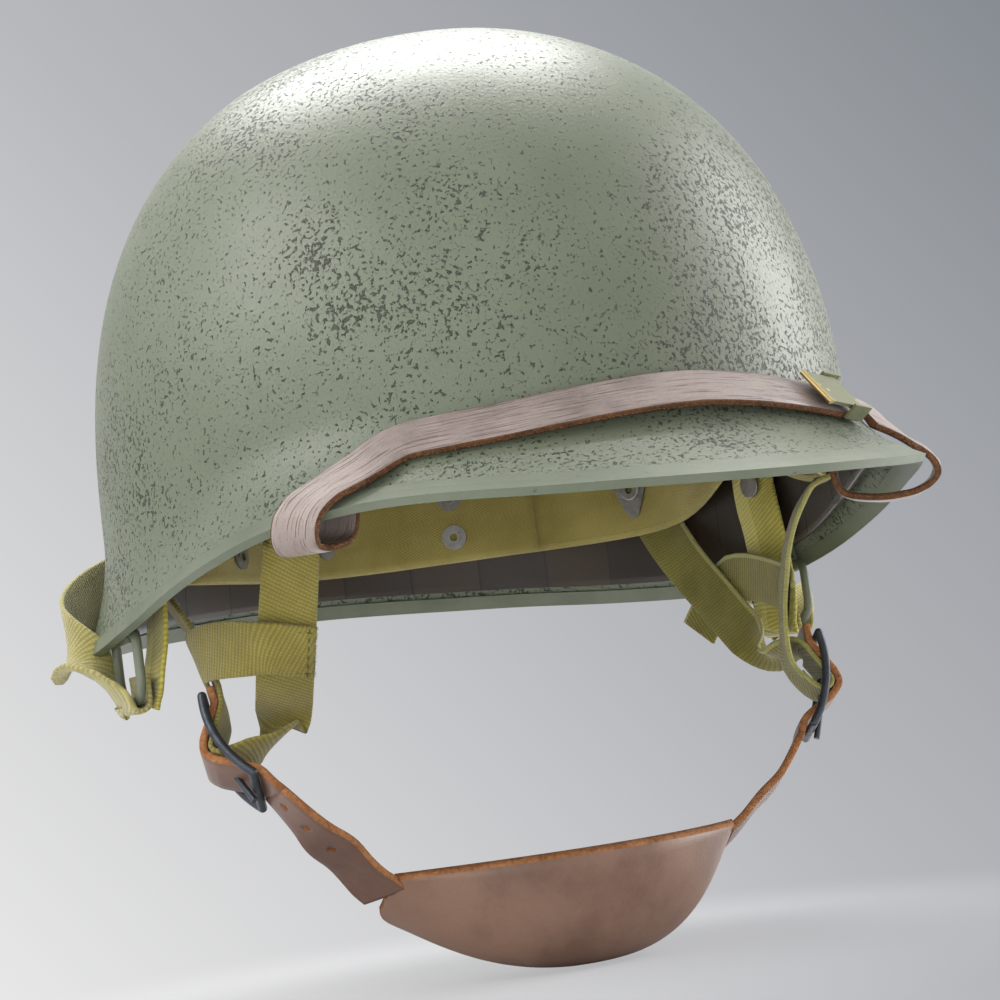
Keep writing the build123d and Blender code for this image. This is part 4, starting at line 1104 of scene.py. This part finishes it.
def wall_grid(name, surface, outer, inner, columns, stations, materials):
    """Closed bowl from a wall surface: outer skin, inner skin and the rim between them."""
    points, faces, cloth = [], [], []
    rows = len(stations)
    grids = []
    for inset in (outer, inner):
        grid = []
        for station in stations:
            row = []
            for c in range(columns):
                row.append(skin_point(surface, 360 * c / columns, station, inset))
            grid.append(row)
        grids.append(grid)
    for grid in grids:
        points += [p for row in grid for p in row]
    for g in (0, 1):
        base = g * rows * columns
        grid = grids[g]
        runs = [0]
        for i in range(rows - 1):
            runs.append(runs[-1] + (grid[i + 1][0] - grid[i][0]).length)
        for i in range(rows - 1):
            for c in range(columns):
                n = (c + 1) % columns
                here, below = base + i * columns, base + (i + 1) * columns
                quad = (here + c, below + c, below + n, here + n)
                us = (c * 75 / columns, c * 75 / columns, (c + 1) * 75 / columns, (c + 1) * 75 / columns)
                vs = (runs[i] / 10, runs[i + 1] / 10, runs[i + 1] / 10, runs[i] / 10)
                if g:
                    quad, us, vs = quad[::-1], us[::-1], vs[::-1]
                faces.append(quad)
                cloth.append(list(zip(us, vs)))
    for g in (0, 1):
        base = g * rows * columns
        fan = [base + c for c in range(columns)]
        points.append(vec(0, shell_centre_offset, crown_height - (outer, inner)[g]))
        tip = len(points) - 1
        for c in range(columns):
            tri = (tip, fan[c], fan[(c + 1) % columns])
            faces.append(tri if not g else tri[::-1])
            cloth.append([(c * 75 / columns, 0)] * 3)
    last = (rows - 1) * columns
    other = rows * columns + last
    for c in range(columns):
        n = (c + 1) % columns
        faces.append((last + c, other + c, other + n, last + n))
        cloth.append([(c * 75 / columns, 0)] * 4)
    thing = new_piece(name, points, faces, cloth, (), materials)
    return outward_faces(thing)


def skin_point(surface, angle, station, inset):
    """Point of a wall surface moved in along its normal."""
    small, turn = 0.01, 0.5
    middle = min(max(station, 0.05), 2 - small)
    down = surface(angle, middle + small) - surface(angle, middle - small)
    round_wall = surface(angle + turn, middle) - surface(angle - turn, middle)
    normal = down.cross(round_wall).normalized()
    point = surface(angle, station)
    if normal.dot(point - vec(0, shell_centre_offset, 0)) < 0:
        normal = -normal
    return point - normal * inset


def upright_cloth(name, reach, low, height, thickness, angles, closed, materials, ruffle=0.0):
    """Upright band of cloth along a curve round the head, a closed wall of even thickness."""
    rows = 14
    points, faces, cloth = [], [], []
    count = len(angles)
    runs = [0]
    for a, b in zip(angles, angles[1:]):
        runs.append(runs[-1] + (polar(b, reach(b), 0) - polar(a, reach(a), 0)).length)
    runs.append(runs[-1] + runs[1])
    loop = []
    for k in range(rows + 1):
        loop.append((0, k / rows))
    for k in range(rows, -1, -1):
        loop.append((thickness, k / rows))
    for i, angle in enumerate(angles):
        for depth, share in loop:
            fold = ruffle * noise.noise(Vector((runs[i] * 0.07, share * 1.5, 3.1)))
            points.append(polar(angle, reach(angle) - depth + fold, low(angle) + height * share))
    n = len(loop)
    for i in range(count if closed else count - 1):
        j = (i + 1) % count
        for k in range(n):
            m = (k + 1) % n
            faces.append((i * n + k, j * n + k, j * n + m, i * n + m))
            us = [loop[k][1] * height / 10] * 2 + [loop[m][1] * height / 10] * 2
            vs = [runs[i] / 10, runs[i + 1] / 10, runs[i + 1] / 10, runs[i] / 10]
            cloth.append(list(zip(vs, us)))
    if not closed:
        for end in (0, count - 1):
            faces.append(tuple(end * n + k for k in range(n)))
            cloth.append([(runs[end] / 10, loop[k][1] * height / 10) for k in range(n)])
    return outward_faces(new_piece(name, points, faces, cloth, (), materials))


def tube_along(name, points, radius, materials, closed=False, sides=10):
    """Round cord through points."""
    count = len(points)
    made, faces, cloth = [], [], []
    run = 0
    side = None
    for i, point in enumerate(points):
        ahead = points[(i + 1) % count] if closed or i < count - 1 else point
        behind = points[i - 1] if closed or i else point
        route = (ahead - behind).normalized()
        if side is None:
            side = route.cross(Vector((0, 0, 1)))
            side = side if side.length > 0.1 else route.cross(Vector((1, 0, 0)))
        side = (side - route * side.dot(route)).normalized()
        up = route.cross(side)
        for k in range(sides):
            a = 2 * pi * k / sides
            made.append(point + side * (radius * cos(a)) + up * (radius * sin(a)))
    for i in range(count if closed else count - 1):
        j = (i + 1) % count
        step = (points[j] - points[i]).length
        for k in range(sides):
            m = (k + 1) % sides
            faces.append((i * sides + k, j * sides + k, j * sides + m, i * sides + m))
            us = [k / sides, k / sides, (k + 1) / sides, (k + 1) / sides]
            vs = [run / 10, (run + step) / 10, (run + step) / 10, run / 10]
            cloth.append(list(zip(us, vs)))
        run += step
    if not closed:
        for end in (0, count - 1):
            faces.append(tuple(end * sides + k for k in range(sides)))
            cloth.append([(0, 0)] * sides)
    return outward_faces(new_piece(name, made, faces, cloth, (), materials))


# Stitches and loose fibres, laid along a line by one tree


def stitch_tree():
    tree = bpy.data.node_groups.new("stitch_row", "GeometryNodeTree")
    face = tree.interface
    face.new_socket(name="Line", in_out="INPUT", socket_type="NodeSocketGeometry")
    for label, value in (("Pitch", 0.0022), ("Length", 0.0016), ("Thread", 0.00028), ("Scatter", 0.0)):
        socket = face.new_socket(name=label, in_out="INPUT", socket_type="NodeSocketFloat")
        socket.default_value = value
    face.new_socket(name="Finish", in_out="INPUT", socket_type="NodeSocketMaterial")
    face.new_socket(name="Stitches", in_out="OUTPUT", socket_type="NodeSocketGeometry")

    def add(kind, **settings):
        made = tree.nodes.new(kind)
        for key, value in settings.items():
            setattr(made, key, value)
        return made

    source, result = add("NodeGroupInput"), add("NodeGroupOutput")
    curve = add("GeometryNodeMeshToCurve")
    spread = add("GeometryNodeCurveToPoints", mode="LENGTH")
    dot = add("GeometryNodeMeshIcoSphere")
    shape = add("GeometryNodeTransform")
    scale = add("ShaderNodeCombineXYZ")
    place = add("GeometryNodeInstanceOnPoints")
    chance = add("FunctionNodeRandomValue", data_type="FLOAT_VECTOR")
    lean = add("GeometryNodeRotateInstances")
    spin = add("ShaderNodeVectorMath", operation="SCALE")
    real = add("GeometryNodeRealizeInstances")
    paint = add("GeometryNodeSetMaterial")
    smooth = add("GeometryNodeSetShadeSmooth")
    dot.inputs["Radius"].default_value = 0.5
    dot.inputs["Subdivisions"].default_value = 2
    chance.inputs["Min"].default_value = (-1, -1, -1)
    chance.inputs["Max"].default_value = (1, 1, 1)
    chance.inputs["Seed"].default_value = 7
    for start, out, end, into in (
        (source, "Line", curve, 0), (curve, 0, spread, "Curve"), (source, "Pitch", spread, "Length"),
        (dot, "Mesh", shape, "Geometry"), (source, "Thread", scale, 0), (source, "Thread", scale, 1),
        (source, "Length", scale, 2), (scale, 0, shape, "Scale"), (spread, "Points", place, "Points"),
        (shape, 0, place, "Instance"), (spread, "Rotation", place, "Rotation"), (chance, "Value", spin, 0),
        (source, "Scatter", spin, "Scale"), (place, 0, lean, 0), (spin, 0, lean, "Rotation"),
        (lean, 0, smooth, 0), (smooth, 0, real, 0), (real, 0, paint, "Geometry"),
        (source, "Finish", paint, "Material"), (paint, 0, result, 0),
    ):
        tree.links.new(start.outputs[out], end.inputs[into])
    return tree


def stitch_rows(name, lines, pitch, length, thread, finish, scatter=0.0):
    """Threads along lines given in millimetres."""
    points, joins = [], []
    for line in lines:
        start = len(points)
        points += line
        joins += [(start + k, start + k + 1) for k in range(len(line) - 1)]
    mesh = bpy.data.meshes.new(name)
    mesh.from_pydata([p / 1000 for p in points], joins, [])
    thing = bpy.data.objects.new(name, mesh)
    bpy.context.collection.objects.link(thing)
    modifier = thing.modifiers.new("rows", "NODES")
    modifier.node_group = stitches
    sockets = {s.name: s.identifier for s in stitches.interface.items_tree if s.in_out == "INPUT"}
    for label, value in (("Pitch", pitch), ("Length", length), ("Thread", thread)):
        modifier[sockets[label]] = value / 1000
    modifier[sockets["Scatter"]] = scatter
    modifier[sockets["Finish"]] = finish
    return settle(thing)


def cut(thing, seat, radius, reach):
    """Round hole square to a seat."""
    sides = 20
    points = []
    for z in (-reach, reach):
        for k in range(sides):
            a = 2 * pi * k / sides
            points.append(seat.from_local_coords((radius * cos(a), radius * sin(a), z)))
    faces = [(k, (k + 1) % sides, sides + (k + 1) % sides, sides + k) for k in range(sides)]
    faces += [tuple(range(sides - 1, -1, -1)), tuple(range(sides, 2 * sides))]
    tool = outward_faces(new_piece("cutter", points, faces, None, (), thing.data.materials[-1:], False))
    modifier = thing.modifiers.new("hole", "BOOLEAN")
    modifier.operation = "DIFFERENCE"
    modifier.solver = "EXACT"
    modifier.material_mode = "TRANSFER"
    modifier.object = tool
    settle(thing)
    bpy.data.objects.remove(tool)


def merge(thing, other):
    """Put another piece's mesh into the first one."""
    made = bmesh.new()
    made.from_mesh(thing.data)
    made.from_mesh(other.data)
    made.to_mesh(thing.data)
    made.free()
    bpy.data.objects.remove(other)


def ride_on(thing, body):
    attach(thing, body)


def dress(name, material):
    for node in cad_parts:
        if node == name or node.startswith(name + "_"):
            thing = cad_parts[node]
            thing.data.materials.clear()
            thing.data.materials.append(material)
cam_edge = -cam_lever_length * 0.38 - cam_lever_length / 2
station_at = lru_cache(None)(station_at)
view_right, view_up, view_back = place_camera()
stitches = stitch_tree()

chip_dark = (0.03, 0.035, 0.03)
paint = cork_paint()
edging_finish = plain_paint("edging_paint", (0.105, 0.125, 0.080), (0.135, 0.155, 0.105), 0.4, chip_dark)
resin = liner_fibre()
herring = herringbone("herringbone_twill", (0.360, 0.292, 0.075), (0.550, 0.460, 0.145))
leg_web = herringbone("leg_webbing", (0.310, 0.255, 0.066), (0.480, 0.405, 0.130), run=0.5)
yoke_finish = ribbed_web("yoke_webbing", (0.225, 0.185, 0.036), (0.350, 0.295, 0.072))
yoke_far = ribbed_web(
    "yoke_webbing_selvedge", (0.190, 0.165, 0.026), (0.310, 0.275, 0.055), 0.125, (0.66, 0.80),
    (0.42, 0.40, 0.14),
)
shell_web = ribbed_web("shell_webbing", (0.330, 0.290, 0.095), (0.500, 0.440, 0.170), 0.14)
tab_web = ribbed_web(
    "tab_webbing", (0.420, 0.365, 0.062), (0.600, 0.530, 0.115), 0.14, (0.30, 0.95), (0.56, 0.50, 0.16)
)
cord_finish = ribbed_web("lace_cord", (0.110, 0.100, 0.060), (0.190, 0.170, 0.110), 0.1)
chin_hide = leather("chin_leather", (0.110, 0.056, 0.038), (0.180, 0.095, 0.064), (0.045, 0.022, 0.015), 0.34)
cup_hide = leather("cup_leather", (0.160, 0.088, 0.060), (0.260, 0.152, 0.106), (0.080, 0.040, 0.026), 0.31)
brim_hide = leather(
    "brim_leather", (0.190, 0.145, 0.128), (0.330, 0.268, 0.240), (0.060, 0.036, 0.030), 0.33, 0.7
)
cut_edge = raw_edge("raw_leather_edge", (0.19, 0.070, 0.028), (0.46, 0.21, 0.085))
brim_edge = raw_edge("brim_leather_edge", (0.050, 0.024, 0.013), (0.19, 0.085, 0.040))
zinc = bare_metal("zinc_plate", (0.36, 0.35, 0.33), 0.38, 0.6)
black_steel = bare_metal("black_steel", (0.065, 0.072, 0.085), 0.36, 0.5, 0.75)
wire_paint = plain_paint("bale_paint", (0.105, 0.120, 0.075), (0.150, 0.165, 0.115), 0.42, (0.03, 0.03, 0.03))
cam_paint = cam_finish()
dark_thread = plain_paint("dark_thread", (0.045, 0.048, 0.018), (0.085, 0.085, 0.035), 0.9)
pale_thread = plain_paint("pale_thread", (0.30, 0.28, 0.13), (0.40, 0.37, 0.19), 0.9)
orange_fibre = plain_paint("hide_fibre", (0.34, 0.15, 0.05), (0.55, 0.28, 0.11), 0.9)
dark_fibre = plain_paint("web_fuzz", (0.16, 0.15, 0.05), (0.28, 0.26, 0.10), 0.95)


def make_shell_skin():
    stations = [0.04 + 0.96 * k / 34 for k in range(35)] + [1 + k / 16 for k in range(1, 17)]
    skin = wall_grid("shell_skin", shell_surface, 0, shell_wall, 180, stations, [paint])
    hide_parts("shell")
    ride_on(skin, "shell")


def make_liner_skin():
    stations = [0.04 + 0.96 * k / 20 for k in range(21)] + [1 + k / 12 for k in range(1, 13)]
    outer = shell_wall + liner_gap
    skin = wall_grid("liner_skin", liner_surface, outer, outer + liner_wall, 150, stations, [resin])
    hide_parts("liner")
    ride_on(skin, "liner")


def make_suspension():
    turns = [2.5 * k for k in range(144)]
    band = upright_cloth(
        "head_band_cloth", lambda a: band_reach(a, 0), band_low, band_height, band_thickness, turns, True,
        [herring], 0.5,
    )
    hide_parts("head_band")
    ride_on(band, "liner")
    span = 360 - 2 * nape_end_angle
    turns = [nape_end_angle + span * k / 40 for k in range(41)]
    nape = upright_cloth(
        "nape_band_cloth", lambda a: band_reach(a, band_thickness + soft_gap), nape_low,
        band_height - 2 * soft_gap,
        nape_thickness, turns, False, [herring], 0.5,
    )
    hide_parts("nape_band")
    ride_on(nape, "liner")
    for k, angle in enumerate(anchor_angles):
        leg = strap(f"crown_leg_web_{k + 1}", leg_stations(angle, k), leg_width, leg_thickness, [leg_web], 4)
        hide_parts(f"crown_leg_{k + 1}")
        ride_on(leg, "liner")
    points = []
    corner = lace_ring_radius / cos(pi / 6)
    for k in range(6):
        a = pi * (2 * k + 1) / 6
        bend = 2 * lace_radius
        heart = corner - bend / cos(pi / 6)
        for j in range(7):
            b = a + pi / 3 * (j / 6 - 0.5)
            x, y = heart * sin(a) + bend * sin(b), shell_centre_offset - heart * cos(a) - bend * cos(b)
            points.append(vec(x, y, lace_height))
    lace = tube_along("crown_lace_cord", points, lace_radius, [cord_finish], True, 14)
    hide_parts("crown_lace")
    ride_on(lace, "liner")
    lines = []
    for share in (0.06, 0.94):
        lines.append([
            polar(a, band_reach(a, band_thickness) - 0.1, band_low(a) + band_height * share)
            for a in range(-180, 181, 2)
        ])
    rows = stitch_rows("band_hems", lines, 2.6, 1.9, 0.34, pale_thread)
    ride_on(rows, "liner")


def bend_across(thing, body, other, place, high, low):
    start, end = [(place[0] / 1000, place[1] / 1000, z / 1000) for z in (high, low)]
    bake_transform(thing)


yoke_bend = (-12, -60)


def make_yokes():
    for side, name in ((-1, "right"), (1, "left")):
        finish = yoke_finish if side < 0 else yoke_far
        for label, node, stations in (
            ("yoke_cloth", "yoke_web", yoke_stations(side)),
            ("crossbar_cloth", "yoke_crossbar", crossbar_route(side)),
        ):
            web = strap(f"{label}_{name}", stations, yoke_web_width, web_thickness, [finish], 6, ruffle=0.25)
            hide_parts(f"{node}_{name}")
            bend_across(web, "liner", "chin", (side * yoke_span, 0), *yoke_bend)
        make_crossbar_threads(side, name)


def make_crossbar_threads(side, name):
    """Dark box stitching that holds the crossbar to the front leg, and its frayed cut end."""
    height = -crossbar_drop_share * yoke_drop
    centre, across, up, out = web_frame(side, height, "front")
    lift = web_thickness * 1.5 + 2 * soft_gap + 0.1
    half = yoke_web_width / 2
    lines = []
    for x in (-half * 0.78, -half * 0.30, half * 0.25):
        lines.append([centre + across * x + out * lift + up * (half * 0.86 * k / 6) for k in range(-6, 7)])
    for y in (-half * 0.8, half * 0.8):
        lines.append([centre + across * (x * half * 0.78 / 6) + out * lift + up * y for x in range(-6, 3)])
    rows = stitch_rows(f"crossbar_stitches_{name}", lines, 2.3, 1.8, 0.42, dark_thread)
    bend_across(rows, "liner", "chin", (side * yoke_span, 0), *yoke_bend)
    corner = centre - across * (half + 0.1) + out * (lift - web_thickness / 2)
    end = [corner + up * (half * 0.95 * k / 8) for k in range(-8, 9)]
    fray = stitch_rows(f"crossbar_fray_{name}", [end], 0.32, 1.3, 0.16, dark_fibre, 1.3)
    bend_across(fray, "liner", "chin", (side * yoke_span, 0), *yoke_bend)


def mirror_route(stations):
    return [(vec(-c.x, c.y, c.z), vec(-s.x, s.y, s.z)) for c, s in stations]


shell_strap_bend = (-28, -41)
snap_tab_bend = (-26, -42)


def make_shell_webs():
    for side, name in ((-1, "right"), (1, "left")):
        turn = (lambda s: s) if side < 0 else mirror_route
        round_shell = shell_strap_route(rear_buckle_angle)
        for label, node, stations, finish, steps, bend in (
            ("shell_strap_web", "shell_strap", round_shell, shell_web, 4, shell_strap_bend),
            ("snap_tab_web", "snap_tab", tab_route(), tab_web, 6, snap_tab_bend),
        ):
            web = strap(
                f"{label}_{name}", turn(stations), shell_web_width, web_thickness, [finish], steps, ruffle=0.3
            )
            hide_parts(f"{node}_{name}")
            bend_across(web, "shell", f"bale_{name}", (side * bale_reach, 10), *bend)


def make_chin_leather():
    for side, name in ((-1, "right"), (1, "left")):
        frames = ribbon_frames(chin_strap_route(side), 7)
        split = 28
        options = {"crown": 0.12, "edge": 0.55}
        piece = strap(
            f"chin_strap_hide_{name}", frames[: split + 1], chin_strap_width, chin_leather,
            [chin_hide, cut_edge], **options,
        )
        if side < 0:
            for place in (17, 22, 26):
                centre, across, route = frames[place]
                cut(piece, Seat(centre, route, route.cross(across)), 1.25, 4)
        rest = strap("rest", frames[split:], chin_strap_width, chin_leather, [chin_hide, cut_edge], **options)
        merge(piece, rest)
        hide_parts(f"chin_strap_{name}")
        ride_on(piece, "chin")
    columns, rows = 97, 33
    points, faces, cloth, edges = [], [], [], []
    for inset in (0, chin_leather):
        for i in range(columns):
            u = -1 + 2 * i / (columns - 1)
            for j in range(rows):
                v = j / (rows - 1)
                points.append(cup_point(u, v, inset))
    size = columns * rows
    for g in (0, 1):
        for i in range(columns - 1):
            for j in range(rows - 1):
                a = g * size + i * rows + j
                faces.append((a, a + rows, a + rows + 1, a + 1))
                corners = ((i, j), (i + 1, j), (i + 1, j + 1), (i, j + 1))
                cloth.append([(x * 0.12, y * 0.13) for x, y in corners])
    rim = [i * rows for i in range(columns)] + [(columns - 1) * rows + j for j in range(1, rows)]
    rim += [i * rows + rows - 1 for i in range(columns - 2, -1, -1)] + list(range(rows - 2, 0, -1))
    for a, b in zip(rim, rim[1:] + rim[:1]):
        faces.append((a, b, size + b, size + a))
        edges.append(len(faces) - 1)
        cloth.append([(0, 0)] * 4)
    cup = outward_faces(new_piece("chin_cup_hide", points, faces, cloth, edges, [cup_hide, cut_edge]))
    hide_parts("chin_cup")
    ride_on(cup, "chin")


def make_brim_straps():
    for name, stations, other in (
        ("long", brim_strap_long_route(), "brim_strap_long"),
        ("short", brim_strap_short_route(), "brim_strap_short"),
    ):
        piece = strap(
            f"brim_strap_hide_{name}", stations, brim_strap_width, brim_leather, [brim_hide, brim_edge], 7,
            crown=0.15, edge=0.5,
        )
        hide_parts(other)
        ride_on(piece, "shell")
        frames = ribbon_frames(stations, 4)
        line = []
        for centre, across, _ in frames:
            low = across if across.z < 0 else -across
            line.append(centre + low * (brim_strap_width / 2 - 0.1))
        fibres = stitch_rows(f"brim_strap_fibres_{name}", [line], 0.55, 1.5, 0.09, orange_fibre, 1.2)
        ride_on(fibres, "shell")


def dress_metal():
    dress("rim_edging", edging_finish)
    dress("bale", wire_paint)
    dress("anchor", zinc)
    for name in ("nape_snap", "brim_stud", "tab_snap"):
        dress(name, zinc)
    for name in ("chin_buckle", "prong", "rear_buckle"):
        dress(name, black_steel)
    dress("brim_buckle", cam_paint)


def make_room():
    """Pale floor that fades into a soft room, brighter low on the viewer's left."""
    floor_height = cad_box[0][2] - 0.0008
    mesh = bpy.data.meshes.new("floor")
    sides = 64
    rim = [(3 * cos(2 * pi * k / sides), 3 * sin(2 * pi * k / sides), floor_height) for k in range(sides)]
    mesh.from_pydata(rim, [], [tuple(range(sides))])
    floor = bpy.data.objects.new("floor", mesh)
    bpy.context.collection.objects.link(floor)
    f = Finish("floor", roughness=0.9, specular=0.0)
    f.shader.inputs["Base Color"].default_value = (0.62, 0.62, 0.625, 1)
    x, y, _ = f.parts(f.place)
    reach = (x * x + y * y) ** 0.5
    clear = f.node("ShaderNodeBsdfTransparent", {}, {})[0]
    path = f.node("ShaderNodeLightPath", {}, {})[0]
    share = path * (0.70 + reach.fade(0.02, 0.22) * 0.30)
    mixed = f.node("ShaderNodeMixShader", {}, {0: share, 1: Wire(f, f.shader.outputs[0]), 2: clear})[0]
    out = next(n for n in f.tree.nodes if n.type == "OUTPUT_MATERIAL")
    f.tree.links.new(mixed.socket, out.inputs["Surface"])
    mesh.materials.append(f.material)

    world = bpy.data.worlds.new("room")
    bpy.context.scene.world = world
    world.use_nodes = True
    w = Finish.__new__(Finish)
    w.tree = world.node_tree
    direction = w.node("ShaderNodeTexCoord", {}, {})[0]

    def along_way(way):
        return w.node("ShaderNodeVectorMath", {"operation": "DOT_PRODUCT"}, {0: direction, 1: tuple(way)})[1]

    ahead = along_way(-view_back).size().top(0.3)
    slope = along_way(view_right + view_up) / (ahead * 0.38)
    share = (slope * 0.5 + 0.5).top(0.0).least(1.0)
    low = w.mix((share * 2.0).least(1.0), (0.80, 0.80, 0.80), (0.475, 0.48, 0.505))
    sky = w.mix(((share - 0.5) * 2.0).top(0.0), low, (0.245, 0.265, 0.29))
    _, _, up = w.parts(direction)
    soft = w.mix(up.fade(-0.3, 0.9), (0.55, 0.55, 0.55), (0.80, 0.81, 0.83))
    seen = w.node("ShaderNodeLightPath", {}, {})[0]
    shade = w.mix(seen, soft, sky)
    background = next(n for n in w.tree.nodes if n.type == "BACKGROUND")
    w.tree.links.new(shade.socket, background.inputs["Color"])
    background.inputs["Strength"].default_value = 1.0


def light_the_room():
    left, top, front = -view_right, Vector((0, 0, 1)), view_back
    aim = Vector((0, 0, 0.03))
    add_lamp("over_top", aim + top * 1.1 - front * 0.55 + left * 0.05, aim, (1.0, 0.7), 25)
    add_lamp("right_rear", aim - left * 1.1 - front * 0.45 + top * 0.35, aim, (0.5, 1.1), 14)
    add_lamp("left_front", aim + left * 0.95 + front * 0.55 + top * 0.75, aim, (0.8, 0.8), 10.5)
    add_lamp("low_front", aim + front * 1.2 - top * 0.12 + left * 0.15, aim, (0.9, 0.35), 8.5)


make_shell_skin()
make_liner_skin()
make_suspension()
make_yokes()
make_shell_webs()
make_chin_leather()
make_brim_straps()
dress_metal()
make_room()
light_the_room()
bpy.context.scene.view_settings.view_transform = "Standard"
